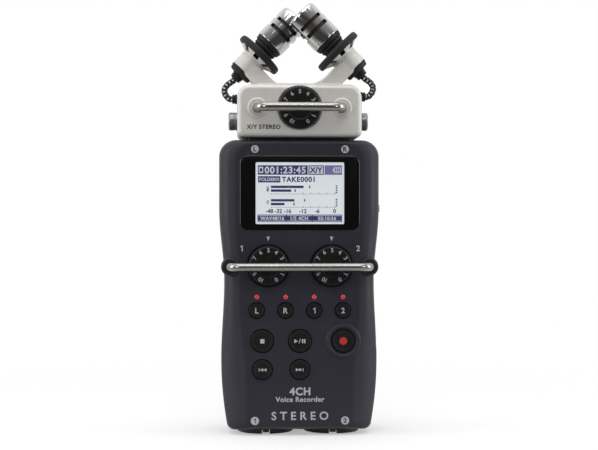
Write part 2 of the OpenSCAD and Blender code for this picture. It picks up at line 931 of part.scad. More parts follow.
module card_door() color(black) {
    difference() {
        union() {
            block([door_x - door_t, door_low_y, card_z - door_half],
                [door_x, hinge_y, card_z + door_half]);
            translate([hinge_x, hinge_y, card_z - door_half]) {
                cylinder(r = hinge_r, h = 2 * door_half);
                translate([0, 0, -door_pin_l]) cylinder(r = door_pin_r, h = 2 * door_half
                    + 2 * door_pin_l);
            }
        }
        // A finger notch at the free edge.
        translate([door_x + 0.3, door_low_y, card_z]) cylinder(r = 0.9, h = 8, center = true);
    }
}

module usb_socket() color(chrome) {
    x1 = body_half(usb_z) - 0.5;
    l = max(usb_l, x1 - board_half + usb_seat);
    translate([x1, usb_y, usb_z]) {
        difference() {
            block([-l, -usb_t / 2, -usb_w / 2], [0, usb_t / 2, usb_w / 2]);
            block([-l + 1, -usb_t / 2 + 0.4, -usb_w / 2 + 0.4],
                [1, usb_t / 2 - 0.4, usb_w / 2 - 0.4]);
        }
        block([-l + 0.5, -0.5, -usb_w / 2 + 1.2], [-2, 0.5, usb_w / 2 - 1.2]);
    }
}

module mini_jack(z) color(black) {
    x0 = -body_half(z) + 0.1;
    translate([0, mini_y, z])
        difference() {
            union() {
                rod_x(mini_r, x0, x0 + 4);
                block([x0 + 3, -mini_r - 0.1, -mini_r], [x0 + mini_depth, mini_r, mini_r]);
            }
            rod_x(mini_bore_r, x0 - 1, x0 + mini_depth - 2);
        }
}

module headphone_jack() {
    mini_jack(headphone_z);
}

module line_jack() {
    mini_jack(line_z);
}

module casing_screws() color("#3b3b3f") {
    at_screws()
        difference() {
            union() {
                rod_y(screw_r, mid_y - 11, back_y - 4);
                rod_y(screw_head_r, back_y - 4, back_y - 2.2);
            }
            block([-1.4, back_y - 3.1, -0.3], [1.4, back_y, 0.3]);
            block([-0.3, back_y - 3.1, -1.4], [0.3, back_y, 1.4]);
        }
}

module connector_tongue() color(black) {
    top = body_top + tongue_h;
    difference() {
        union() {
            block([-tongue_w / 2, mid_y - tongue_d / 2, body_top - wall - 0.1],
                [tongue_w / 2, mid_y + tongue_d / 2, top]);
            block([-tongue_w / 2 - 1.5, mid_y - tongue_d / 2 - 1.5, body_top - wall - 1.6],
                [tongue_w / 2 + 1.5, mid_y + tongue_d / 2 + 1.5, body_top - wall - 0.1]);
        }
        // The connector's mouth in the top of the tongue.
        block([-14, mid_y - 3, top - 6], [14, mid_y + 3, top + 1]);
    }
    block([-12.5, mid_y - 1.2, top - 7], [12.5, mid_y + 1.2, top - 1]);
}

module power_switch() color(black) {
    x1 = body_half(power_z);
    translate([0, side_y, power_z]) {
        block([x1 - wall - 0.8, -1.5, -power_knob / 2], [x1 + 0.8, 1.5, power_knob / 2]);
        block([x1 - wall - 1.6, -2.6, -power_knob / 2 - power_travel - 0.4],
            [x1 - wall - 0.4, 2.6, power_knob / 2 + power_travel + 0.4]);
    }
}

module menu_button() color(black) {
    x0 = -body_half(menu_z);
    translate([0, side_y, menu_z]) {
        rod_x(menu_r, x0 + 0.1, x0 + wall + 1.2);
        rod_x(menu_r + 0.8, x0 + wall + 0.3, x0 + wall + 1.2);
        rod_x(1, x0 + wall, -26.4);
    }
}

module scroll_wheel() color(black) {
    side_wheel(scroll_r, scroll_t, scroll_y, scroll_z, 28);
}

module volume_wheel() color("#8b8b92") {
    side_wheel(volume_r, volume_t, volume_y, volume_z, 32);
}

module battery_cover() color(charcoal) {
    difference() {
        union() {
            block([-cover_half, back_y - cover_t, cover_pin_z], [cover_half, back_y, cover_high]);
            translate([0, cover_pin_y, cover_pin_z]) {
                rod_x(cover_t / 2, -cover_half, cover_half);
                rod_x(cover_pin_r, -cover_half - 1.3, cover_half + 1.3);
            }
        }
        // Grip grooves by the latch edge.
        for (i = [0 : 3])
            translate([0, back_y + 0.2, cover_high - 5 - i * 2]) rod_x(0.6, -7, 7);
    }
}

module capsule_block(w, d, low, high, edge, top_r, foot_r) {
    h = high - low;
    intersection() {
        translate([0, mid_y, low]) linear_extrude(h) rounded(w, d, edge);
        along_y(mid_y - d, mid_y + d)
            translate([0, low]) {
                translate([-w / 2 + top_r, 0]) square([w - 2 * top_r, h]);
                translate([-w / 2, foot_r]) square([w, h - top_r - foot_r]);
                translate([-w / 2 + foot_r, 0]) square([w - 2 * foot_r, h / 2]);
                for (x = [-1, 1]) {
                    translate([x * (w / 2 - top_r), h - top_r]) circle(top_r);
                    translate([x * (w / 2 - foot_r), foot_r]) circle(foot_r);
                }
            }
    }
}

module capsule_shell() color(champagne) {
    difference() {
        union() {
            difference() {
                capsule_block(capsule_w, capsule_d, capsule_z, capsule_top,
                    capsule_edge_r, capsule_corner_r, capsule_foot_r);
                capsule_block(capsule_w - 2 * capsule_wall, capsule_d - 2 * capsule_wall,
                    capsule_z + capsule_wall, capsule_top - capsule_wall,
                    capsule_edge_r - 1.5, capsule_corner_r - capsule_wall, 1);
            }
            for (x = [-1, 1])
                translate([x * capsule_guard_span / 2, 0, capsule_bar_z])
                    rod_y(4, capsule_front_y - 0.5, capsule_front_y + capsule_wall);
        }
        block(
            [-tongue_w / 2 - slide_gap - sleeve_wall, mid_y - tongue_d / 2 - slide_gap
                - sleeve_wall, capsule_z - 1],
            [tongue_w / 2 + slide_gap + sleeve_wall, mid_y + tongue_d / 2 + slide_gap
                + sleeve_wall, capsule_z + capsule_wall + 1]
        );
        translate([0, 0, dial_z]) {
            rod_y(dial_r + button_gap, capsule_front_y - 1, capsule_front_y + dial_recess);
            rod_y(stem_r + shaft_gap, capsule_front_y, capsule_front_y + 4);
        }
        for (side = [-1, 1])
            side_of(side) {
                translate([capsule_guard_span / 2, 0, capsule_bar_z])
                    rod_y(capsule_guard_d / 2 + 0.02, capsule_front_y - 2, capsule_front_y + 4);
                translate([0, mid_y, release_z])
                    rod_x(release_r + button_gap, capsule_w / 2 - 4, capsule_w / 2 + 2);
            }
        for (side = [-1, 1])
            translate([0, mid_y - side * mic_offset, gland_z])
                side_of(side) rod_x(gland_r - 0.48, capsule_w / 2 - 4, capsule_w / 2 + 2);
    }
}

module capsule_sleeve() color(black) {
    low = capsule_z;
    high = body_top + tongue_h + slide_gap;
    x = tongue_w / 2 + slide_gap;
    y = tongue_d / 2 + slide_gap;
    difference() {
        block([-x - sleeve_wall + 0.02, mid_y - y - sleeve_wall + 0.02, low],
            [x + sleeve_wall - 0.02, mid_y + y + sleeve_wall - 0.02, high + 1]);
        block([-x, mid_y - y, low - 1], [x, mid_y + y, high]);
        for (side = [-1, 1])
            side_of(side)
                block([x - 1, mid_y - release_r - 1.4, release_z - release_r - 1.4],
                    [x + sleeve_wall + 1, mid_y + release_r + 1.4, release_z + release_r + 1.4]);
    }
}

module capsule_board() color("#1f5a3c") {
    z = body_top + tongue_h + slide_gap + 1.1;
    block([-20, mid_y - 11, z], [20, mid_y + 11, z + 1.2]);
}

module level_dial() color(black) {
    translate([0, 0, dial_z]) {
        dial(dial_r, capsule_front_y - dial_stand, capsule_front_y + dial_recess - slide_gap, 40);
        rod_y(stem_r, capsule_front_y, capsule_front_y + 4.6);
    }
}

module capsule_guard_bar() color(chrome) {
    bent_bar(capsule_guard_d, capsule_guard_span, capsule_bar_y, capsule_bar_z,
        capsule_front_y + 4.5);
}

module release_button() color(chrome) {
    x1 = capsule_w / 2 + release_stand;
    translate([0, mid_y, release_z]) {
        rod_x(release_r, capsule_w / 2 - capsule_wall - 0.3, x1 - 0.7);
        translate([x1 - 0.7, 0, 0]) rotate([0, 90, 0])
            cylinder(r1 = release_r, r2 = release_r - 0.7, h = 0.7);
        rod_x(release_r + 0.9, capsule_w / 2 - capsule_wall - 1, capsule_w / 2 - capsule_wall
            - 0.3);
    }
}

module release_button_left() {
    side_of(-1) release_button();
}

module release_button_right() {
    side_of(1) release_button();
}

// Places what is drawn along +Z from 0 on the axis of one microphone, from the back of its sleeve.
module on_mic(side) {
    translate([0, mid_y - side * mic_offset, capsule_top])
        side_of(side) translate([sleeve_x, 0, sleeve_up]) rotate([0, -45, 0]) children();
}

// An arm seen from the front, over the housing's top: the lines z - x = arm_low and
// z - x = arm_up bound it, and it ends on the microphone's axis.
function arm_outline() =
    let (
        sum = sleeve_x + sleeve_up,
        arm_low = sleeve_up - sleeve_x + arm_back * sqrt(2),
        arm_up = arm_low + arm_t * sqrt(2),
        fillet_x = -arm_up - arm_fillet * (sqrt(2) - 1)
    )
    concat(
        [[-arm_low, 0], [(sum - arm_low) / 2, (sum + arm_low) / 2],
            [(sum - arm_up) / 2, (sum + arm_up) / 2]],
        [for (a = [-45 : -9 : -90])
            [fillet_x + arm_fillet * cos(a), arm_fillet * (1 + sin(a))]]
    );

module mic_yoke() color(champagne) {
    base_x = arm_outline()[0][0];
    difference() {
        union() {
            block([-base_x, mid_y - mic_offset - sleeve_r, capsule_top],
                [base_x, mid_y + mic_offset + sleeve_r, capsule_top + 0.6]);
            for (side = [-1, 1]) {
                y = mid_y - side * mic_offset;
                side_of(side)
                    along_y(y - arm_half, y + arm_half)
                        translate([0, capsule_top]) polygon(arm_outline());
                on_mic(side) {
                    cylinder(r = sleeve_r, h = sleeve_l);
                    translate([0, 0, sleeve_l])
                        cylinder(r1 = sleeve_r, r2 = flare_r, h = flare_l);
                }
            }
        }
        for (side = [-1, 1])
            on_mic(side) {
                translate([0, 0, -4]) cylinder(r = sleeve_bore_r, h = sleeve_l + 5);
                // The seat of the boot, behind the sleeve.
                translate([0, 0, -4]) cylinder(r = boot_r + 0.2, h = 4);
                translate([0, 0, sleeve_l])
                    cylinder(r1 = sleeve_bore_r, r2 = flare_r - 0.8, h = flare_l + 0.2);
                for (a = [0 : 45 : 315])
                    rotate(a) block([sleeve_r - 0.3, -1.3, sleeve_l + 0.3], [far / 4, 1.3, far / 4]);
            }
    }
}

module shock_mount(side) color(black) {
    on_mic(side) {
        translate([0, 0, 2.2]) cylinder(r = hub_r, h = disc_at - 2.2 + eps);
        translate([0, 0, disc_at]) cylinder(r = disc_r, h = disc_t - 0.8);
        translate([0, 0, disc_at + disc_t - 0.8])
            cylinder(r1 = disc_r, r2 = disc_r - 0.8, h = 0.8);
        translate([0, 0, neck_at]) cylinder(r1 = 4.9, r2 = 6.4, h = neck_l - eps);
    }
}

module shock_mount_left() {
    shock_mount(-1);
}

module shock_mount_right() {
    shock_mount(1);
}

// The cut that opens a slot round a microphone body and leaves its posts.
module mic_slot(z, h) {
    translate([0, 0, z])
        difference() {
            cylinder(r = mic_r + 1, h = h);
            translate([0, 0, -1]) cylinder(r = mic_r - 1.5, h = h + 2);
            for (a = [90 : 120 : 330]) rotate(a) block([0, -0.8, -1], [mic_r + 2, 0.8, h + 1]);
        }
}

module mic_body(side) color(chrome) {
    bore = mic_r - 0.95;
    on_mic(side)
        translate([0, 0, mic_at])
            difference() {
                rotate_extrude()
                    polygon(concat(
                        [[4.6, 0], [mic_r - 0.4, 0], [mic_r, 0.4]],
                        [for (a = [0 : 15 : 90])
                            [mic_r - 1.4 * (1 - cos(a)), mic_l - 1.4 * (1 - sin(a))]],
                        [[4.4, mic_l], [4.4, mic_l - 1.2], [bore, mic_l - 1.2], [bore, 1.2],
                            [4.6, 1.2]]
                    ));
                mic_slot(slot_rear_at, slot_rear_l);
                mic_slot(slot_front_at, slot_front_l);
            }
}

module mic_body_left() {
    mic_body(-1);
}

module mic_body_right() {
    mic_body(1);
}

module mic_meshes() color("#3a322c") {
    for (side = [-1, 1])
        on_mic(side) translate([0, 0, mic_at + 1.3]) cylinder(r = mesh_r, h = mic_l - 2.6);
}

module mic_boot(side) color(black) {
    on_mic(side) difference() {
        union() {
            translate([0, 0, -eps]) cylinder(r = sleeve_bore_r - 0.1, h = 2);
            translate([0, 0, -2.3]) cylinder(r1 = boot_r - 0.9, r2 = boot_r, h = 2.3);
            translate([0, 0, -2.9]) cylinder(r = 2.4, h = 0.7);
            translate([0, 0, -boot_l]) cylinder(r1 = 2.3, r2 = 2.9, h = boot_l - 2.7);
        }
        translate([0, 0, -boot_l - 1]) cylinder(r = lead_d / 2 + lead_gap, h = boot_bore + 1);
    }
}

module mic_boot_left() {
    mic_boot(-1);
}

module mic_boot_right() {
    mic_boot(1);
}

module lead_glands() color(black) {
    for (side = [-1, 1])
        translate([0, mid_y - side * mic_offset, gland_z])
            side_of(side) difference() {
                union() {
                    rod_x(gland_r, capsule_w / 2, capsule_w / 2 + gland_stand);
                    rod_x(gland_r - 0.5, capsule_w / 2 - capsule_wall - 1, capsule_w / 2 + eps);
                }
                rod_x(
                    lead_d / 2 + lead_gap, capsule_w / 2 + gland_stand - gland_bore,
                    capsule_w / 2 + gland_stand + 1
                );
            }
}

// A point of a smooth curve through p[1] and p[2], at share t of the way between them.
function curve_point(p, t) =
    0.5 * (2 * p[1] + (p[2] - p[0]) * t + (2 * p[0] - 5 * p[1] + 4 * p[2] - p[3]) * t * t
        + (3 * p[1] - p[0] - 3 * p[2] + p[3]) * t * t * t);

function lead_points() =
    let (r = lead_route, n = len(r))
    [for (i = [0 : n - 2]) for (k = [0 : lead_steps - (i == n - 2 ? 0 : 1)])
        curve_point(
            [r[max(i - 1, 0)], r[i], r[i + 1], r[min(i + 2, n - 1)]], k / lead_steps)];

module mic_lead(side) color("#55555a") {
    p = lead_points();
    n = len(p);
    rings = [for (i = [0 : n - 1])
        let (
            d = p[min(i + 1, n - 1)] - p[max(i - 1, 0)],
            out = [d[1], -d[0]] / norm(d)
        )
        [for (j = [0 : lead_sides - 1])
            let (a = 360 * j / lead_sides, w = lead_d / 2 * cos(a))
            [p[i][0] + w * out[0], lead_d / 2 * sin(a), p[i][1] + w * out[1]]]];
    translate([0, mid_y - side * mic_offset, capsule_z]) side_of(side) loft(rings);
}

module mic_lead_left() {
    mic_lead(-1);
}

module mic_lead_right() {
    mic_lead(1);
}

front_casing();
rear_casing();
display_window();
display_panel();
indicator_lenses();
main_board();
switch_bodies();
gain_pots();
combo_jack_1();
combo_jack_2();
jack_contacts();
guard_bar();
aa_cells();
battery_contacts();
speaker();
tripod_insert();
card_socket();
usb_socket();
headphone_jack();
line_jack();
casing_screws();
connector_tongue();
gain_knob_1();
gain_knob_2();
track_button_l();
track_button_r();
track_button_1();
track_button_2();
stop_button();
play_button();
record_button();
rewind_button();
forward_button();
power_switch();
menu_button();
scroll_wheel();
volume_wheel();
jack_latch_1();
jack_latch_2();
battery_cover();
card_door();
memory_card();
capsule_shell();
capsule_sleeve();
capsule_board();
level_dial();
capsule_guard_bar();
release_button_left();
release_button_right();
mic_yoke();
mic_body_left();
mic_body_right();
mic_meshes();
shock_mount_left();
shock_mount_right();
mic_boot_left();
mic_boot_right();
lead_glands();
mic_lead_left();
mic_lead_right();
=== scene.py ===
# Handheld recorder with a crossed pair of microphones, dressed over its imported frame.
# Sizes in the dictionaries are millimetres; finishPiece turns them into metres.
import math

import bmesh
import bpy
from mathutils import Matrix, Vector


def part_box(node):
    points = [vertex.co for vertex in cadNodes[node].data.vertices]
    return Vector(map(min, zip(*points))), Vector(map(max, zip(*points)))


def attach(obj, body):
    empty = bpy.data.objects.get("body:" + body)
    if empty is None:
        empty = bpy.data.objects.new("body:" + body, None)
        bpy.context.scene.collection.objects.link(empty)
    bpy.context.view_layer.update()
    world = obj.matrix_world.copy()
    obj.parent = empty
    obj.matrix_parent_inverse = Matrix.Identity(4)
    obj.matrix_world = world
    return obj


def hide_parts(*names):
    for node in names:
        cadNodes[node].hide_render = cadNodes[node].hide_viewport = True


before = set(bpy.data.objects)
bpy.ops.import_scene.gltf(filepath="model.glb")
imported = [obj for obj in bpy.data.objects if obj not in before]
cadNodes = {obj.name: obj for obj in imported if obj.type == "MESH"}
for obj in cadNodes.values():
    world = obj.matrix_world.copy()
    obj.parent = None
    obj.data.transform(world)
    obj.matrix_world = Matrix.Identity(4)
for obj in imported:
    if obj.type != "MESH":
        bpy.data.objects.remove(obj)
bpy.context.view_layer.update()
millimetre = 0.001


def nodeBox(name):
    low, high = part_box(name)
    return low / millimetre, high / millimetre


def nodeMiddle(name):
    low, high = nodeBox(name)
    return (low + high) / 2


buttonLow, buttonHigh = nodeBox("stop_button")
casingLow, casingHigh = nodeBox("rear_casing")
capsuleLow, capsuleHigh = nodeBox("capsule_shell")
frontY = buttonLow.y + 0.6      # the flat front of the casing
backY = casingHigh.y
midY = (frontY + backY) / 2     # the parting plane
capsuleFrontY = capsuleLow.y + 0.5


def joined(parts):
    whole = bmesh.new()
    for part in parts:
        mesh = bpy.data.meshes.new("part")
        part.to_mesh(mesh)
        part.free()
        whole.from_mesh(mesh)
        bpy.data.meshes.remove(mesh)
    return whole


def placed(bm, place):
    bmesh.ops.transform(bm, matrix=place, verts=bm.verts)
    return bm


def onFront(x, z, y=None):
    # local X stays X, local Y is up and local Z comes out of the front
    return Matrix.Translation((x, frontY if y is None else y, z)) @ Matrix.Rotation(math.pi / 2, 4, "X")


def onBack(x, z, y=None):
    turn = Matrix.Rotation(math.pi, 4, "Z") @ Matrix.Rotation(math.pi / 2, 4, "X")
    return Matrix.Translation((x, backY if y is None else y, z)) @ turn


def onSide(side, x, y, z):
    # local Z comes out of the right side for 1 and out of the left side for -1
    turn = Matrix.Rotation(side * math.pi / 2, 4, "Z") @ Matrix.Rotation(math.pi / 2, 4, "X")
    return Matrix.Translation((x, y, z)) @ turn


def turned(profile, steps=64, closed=False):
    # profile points are (radius, height) or (radius, height, rounding); the shape spins round Z
    bm = bmesh.new()
    verts = [bm.verts.new((p[0], 0, p[1])) for p in profile]
    for a, b in zip(verts, verts[1:]):
        bm.edges.new((a, b))
    if closed:
        bm.edges.new((verts[-1], verts[0]))
    rounds = [(v, p[2]) for v, p in zip(verts, profile) if len(p) > 2]
    for vert, radius in rounds:
        bmesh.ops.bevel(bm, geom=[vert], offset=radius, segments=5, profile=0.5,
                        affect="VERTICES", material=-1)
    bmesh.ops.spin(bm, geom=bm.verts[:] + bm.edges[:], cent=(0, 0, 0), axis=(0, 0, 1),
                   angle=math.tau, steps=steps, use_merge=True)
    bmesh.ops.remove_doubles(bm, verts=bm.verts, dist=0.0005)
    bmesh.ops.recalc_face_normals(bm, faces=bm.faces)
    return bm


def wireRing(bm, points):
    verts = [bm.verts.new(p) for p in points]
    return [bm.edges.new((verts[i - 1], verts[i])) for i in range(len(verts))]


def lofted(rings, capped=True):
    bm = bmesh.new()
    wires = [wireRing(bm, ring) for ring in rings]
    for near, far in zip(wires, wires[1:]):
        bmesh.ops.bridge_loops(bm, edges=near + far)
    if capped:
        for end in (wires[0], wires[-1]):
            bmesh.ops.contextual_create(bm, geom=end)
    bmesh.ops.recalc_face_normals(bm, faces=bm.faces)
    return bm


def cornerArc(x, y, radius, start, steps=8):
    turnBy = math.pi / 2 / steps
    return [(x + radius * math.cos(start + i * turnBy), y + radius * math.sin(start + i * turnBy))
            for i in range(steps + 1)]


def roundRect(width, height, radius, footRadius=None, grow=0, steps=8):
    # an outline centred on the origin, counter-clockwise from its right side
    top = max(radius + grow, 0.05)
    foot = max((radius if footRadius is None else footRadius) + grow, 0.05)
    w, h = width / 2 + grow, height / 2 + grow
    return (cornerArc(w - top, h - top, top, 0, steps)
            + cornerArc(top - w, h - top, top, math.pi / 2, steps)
            + cornerArc(foot - w, foot - h, foot, math.pi, steps)
            + cornerArc(w - foot, foot - h, foot, 1.5 * math.pi, steps))


def prism(outlineAt, levels):
    # outlineAt(grow) gives the outline, levels are (grow, height) pairs
    return lofted([[(x, y, height) for x, y in outlineAt(grow)] for grow, height in levels])


def roundedEnd(radius, height, steps=4, flip=1):
    # levels for an edge of that radius that ends at the given height
    return [(-radius * (1 - math.cos(a)), height - flip * radius * (1 - math.sin(a)))
            for a in (math.pi / 2 * i / steps for i in range(steps + 1))]


def pad(width, height, radius, low, high, edge=0.3, foot=None, backEdge=None):
    # a slab with rounded corners and rounded front and back edges
    back = edge if backEdge is None else backEdge
    lower = [(g, h) for g, h in reversed(roundedEnd(back, low, flip=-1))] if back else [(0, low)]
    upper = roundedEnd(edge, high) if edge else [(0, high)]
    return prism(lambda grow: roundRect(width, height, radius, foot, grow), lower + upper)


def flaredPad(width, height, radius, depth, lip, rise=1.0):
    # a cutter for a pocket with a softened rim, from -depth up to the surface at 0
    levels = [(0, -depth)]
    levels += [(lip * (1 - math.cos(a)), 0.004 - lip * (1 - math.sin(a)))
               for a in (math.pi / 8 * i for i in range(5))]
    levels += [(lip + 0.3, 0.004), (lip + 0.3, rise)]
    return prism(lambda grow: roundRect(width, height, radius, None, grow), levels)


def flaredHole(radius, depth, lip, rise=1.0, steps=64):
    return turned([(0, -depth), (radius, -depth), (radius, 0.004, lip), (radius + lip + 0.3, 0.004),
                   (radius + lip + 0.3, rise), (0, rise)], steps)


def brick(low, high, edge=0.0, segments=3):
    bm = bmesh.new()
    size = Vector(high) - Vector(low)
    middle = (Vector(high) + Vector(low)) / 2
    bmesh.ops.create_cube(bm, size=1, matrix=Matrix.Translation(middle) @ Matrix.Diagonal((*size, 1)))
    if edge:
        bmesh.ops.bevel(bm, geom=bm.edges[:], offset=edge, segments=segments, profile=0.5,
                        affect="EDGES", material=-1)
    return bm


def rod(radius, start, end, steps=48):
    # a plain round cutter or pin between two points
    start, end = Vector(start), Vector(end)
    along = end - start
    bm = bmesh.new()
    place = Matrix.Translation((start + end) / 2) @ along.to_track_quat("Z", "Y").to_matrix().to_4x4()
    bmesh.ops.create_cone(bm, cap_ends=True, segments=steps, radius1=radius, radius2=radius,
                          depth=along.length, matrix=place)
    return bm


def tempObject(bm, group):
    mesh = bpy.data.meshes.new("temp")
    bm.to_mesh(mesh)
    bm.free()
    thing = bpy.data.objects.new("temp", mesh)
    group.objects.link(thing)
    return thing


def combined(bm, others, operation="DIFFERENCE"):
    # cuts the others out of bm, or adds them to it
    group = bpy.data.collections.new("tools")
    bpy.context.scene.collection.children.link(group)
    base = tempObject(bm, bpy.context.scene.collection)
    tools = [tempObject(other, group) for other in others]
    change = base.modifiers.new("shape", "BOOLEAN")
    change.operation = operation
    change.operand_type = "COLLECTION"
    change.collection = group
    change.solver = "EXACT"
    bpy.context.view_layer.update()
    graph = bpy.context.evaluated_depsgraph_get()
    shaped = bmesh.new()
    shaped.from_mesh(base.evaluated_get(graph).data)
    for thing in [base] + tools:
        mesh = thing.data
        bpy.data.objects.remove(thing)
        bpy.data.meshes.remove(mesh)
    bpy.data.collections.remove(group)
    return shaped


def lettering(text, height, thickness=0.03, heavy=0.0, spacing=1.0):
    # raised print, centred on the origin, that stands on Z = 0; height is that of its tallest sign
    if text == "1":
        stem = [(0.02, -0.5), (0.02, 0.22), (-0.24, 0.22), (-0.24, 0.3), (-0.02, 0.5), (0.2, 0.5),
                (0.2, -0.5)]
        return sign([(x * height, y * height) for x, y in stem], thickness)
    curve = bpy.data.curves.new("lettering", "FONT")
    curve.body = text
    curve.size = 10
    curve.offset = heavy
    curve.resolution_u = 4
    curve.space_character = spacing
    curve.extrude = 1
    thing = bpy.data.objects.new("lettering", curve)
    bpy.context.scene.collection.objects.link(thing)
    bpy.context.view_layer.update()
    mesh = bpy.data.meshes.new_from_object(thing.evaluated_get(bpy.context.evaluated_depsgraph_get()))
    bm = bmesh.new()
    bm.from_mesh(mesh)
    bpy.data.objects.remove(thing)
    bpy.data.curves.remove(curve)
    bpy.data.meshes.remove(mesh)
    xs = [v.co.x for v in bm.verts]
    ys = [v.co.y for v in bm.verts]
    scale = height / (max(ys) - min(ys))
    shift = Matrix.Translation((-(max(xs) + min(xs)) / 2, -(max(ys) + min(ys)) / 2, 1))
    size = Matrix.Diagonal((scale, scale, thickness / 2, 1))
    bmesh.ops.remove_doubles(bm, verts=bm.verts, dist=0.001)
    return placed(bm, size @ shift)


def sign(points, thickness=0.03):
    # a flat printed sign from its outline, standing on Z = 0
    return lofted([[(x, y, z) for x, y in points] for z in (-0.01, thickness)])


def tube(points, radius, sides=12):
    curve = bpy.data.curves.new("tube", "CURVE")
    curve.dimensions = "3D"
    spline = curve.splines.new("POLY")
    spline.points.add(len(points) - 1)
    for spot, place in zip(spline.points, points):
        spot.co = (*place, 1)
    curve.bevel_depth = radius
    curve.bevel_resolution = sides
    curve.use_fill_caps = True
    thing = bpy.data.objects.new("tube", curve)
    bpy.context.scene.collection.objects.link(thing)
    bpy.context.view_layer.update()
    mesh = bpy.data.meshes.new_from_object(thing.evaluated_get(bpy.context.evaluated_depsgraph_get()))
    bm = bmesh.new()
    bm.from_mesh(mesh)
    bpy.data.objects.remove(thing)
    bpy.data.curves.remove(curve)
    bpy.data.meshes.remove(mesh)
    bmesh.ops.remove_doubles(bm, verts=bm.verts, dist=0.0005)
    bmesh.ops.recalc_face_normals(bm, faces=bm.faces)
    return bm


def finishPiece(name, bm, body, slotName, replaced=(), sharp=35, weighted=False, material=None):
    bmesh.ops.scale(bm, vec=(millimetre,) * 3, verts=bm.verts)
    mesh = bpy.data.meshes.new(name)
    bm.to_mesh(mesh)
    bm.free()
    mesh.materials.append(finishes[material or slotName])
    piece = bpy.data.objects.new(name, mesh)
    bpy.context.scene.collection.objects.link(piece)
    mesh.shade_smooth()
    mesh.set_sharp_from_angle(angle=math.radians(sharp))
    if weighted:
        level = piece.modifiers.new("evenShading", "WEIGHTED_NORMAL")
        level.keep_sharp = True
        level.weight = 80
    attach(piece, body)
    if replaced:
        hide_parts(*replaced)
    return piece


shot = {"distance": 625, "height": 87.05, "turn": -2.6, "aside": 0.38, "lens": 88.6}


def setCamera():
    lens = bpy.data.cameras.new("camera")
    lens.lens = shot["lens"]
    lens.sensor_width = 36
    camera = bpy.data.objects.new("camera", lens)
    bpy.context.scene.collection.objects.link(camera)
    turn = Matrix.Translation((0, midY, 0)) @ Matrix.Rotation(math.radians(shot["turn"]), 4, "Z")
    camera.location = turn @ Vector((shot["aside"], -shot["distance"], shot["height"])) * millimetre
    camera.rotation_euler = (math.pi / 2, 0, math.radians(shot["turn"]))
    bpy.context.scene.camera = camera


softboxes = {
    "leftBox": {"at": (-700, -120, 260), "size": (300, 700), "watts": 2.4},
    "rightBox": {"at": (720, -100, 240), "size": (300, 700), "watts": 2.4},
    "topBox": {"at": (0, -120, 760), "size": (800, 420), "watts": 1.8},
    "frontFill": {"at": (-80, -1000, 1150), "size": (1000, 420), "watts": 4.6},
    "leftStrip": {"at": (-560, -780, 260), "size": (140, 520), "watts": 1.3},
    "rightStrip": {"at": (560, -780, 260), "size": (140, 520), "watts": 1.3},
}


def setLights():
    aim = Vector((0, 0, 90)) * millimetre
    for name, box in softboxes.items():
        light = bpy.data.lights.new(name, "AREA")
        light.shape = "RECTANGLE"
        light.size, light.size_y = (s * millimetre for s in box["size"])
        light.energy = box["watts"]
        lamp = bpy.data.objects.new(name, light)
        lamp.location = Vector(box["at"]) * millimetre
        lamp.rotation_mode = "QUATERNION"
        lamp.rotation_quaternion = (aim - lamp.location).to_track_quat("-Z", "Y")
        bpy.context.scene.collection.objects.link(lamp)


def setStudio():
    # a white sweep behind, dim behind the camera
    world = bpy.data.worlds.new("studio")
    bpy.context.scene.world = world
    world.use_nodes = True
    tree = world.node_tree
    tree.nodes.clear()
    out = tree.nodes.new("ShaderNodeOutputWorld")
    seen = tree.nodes.new("ShaderNodeBackground")
    seen.inputs["Color"].default_value = (1, 1, 1, 1)
    glow = tree.nodes.new("ShaderNodeBackground")
    path = tree.nodes.new("ShaderNodeLightPath")
    swap = tree.nodes.new("ShaderNodeMixShader")
    where = tree.nodes.new("ShaderNodeTexCoord")
    split = tree.nodes.new("ShaderNodeSeparateXYZ")
    depth = tree.nodes.new("ShaderNodeMapRange")
    depth.inputs["From Min"].default_value = -0.35
    depth.inputs["From Max"].default_value = 0.5
    depth.inputs["To Min"].default_value = 0.05
    depth.inputs["To Max"].default_value = 0.75
    rise = tree.nodes.new("ShaderNodeMapRange")
    rise.inputs["From Min"].default_value = 0.1
    rise.inputs["From Max"].default_value = 0.9
    rise.inputs["To Max"].default_value = 0.35
    total = tree.nodes.new("ShaderNodeMath")
    tree.links.new(where.outputs["Generated"], split.inputs[0])
    tree.links.new(split.outputs["Y"], depth.inputs["Value"])
    tree.links.new(split.outputs["Z"], rise.inputs["Value"])
    tree.links.new(depth.outputs[0], total.inputs[0])
    tree.links.new(rise.outputs[0], total.inputs[1])
    tree.links.new(total.outputs[0], glow.inputs["Color"])
    tree.links.new(path.outputs["Is Camera Ray"], swap.inputs["Fac"])
    tree.links.new(glow.outputs[0], swap.inputs[1])
    tree.links.new(seen.outputs[0], swap.inputs[2])
    tree.links.new(swap.outputs[0], out.inputs["Surface"])
    bpy.context.scene.view_settings.view_transform = "Standard"


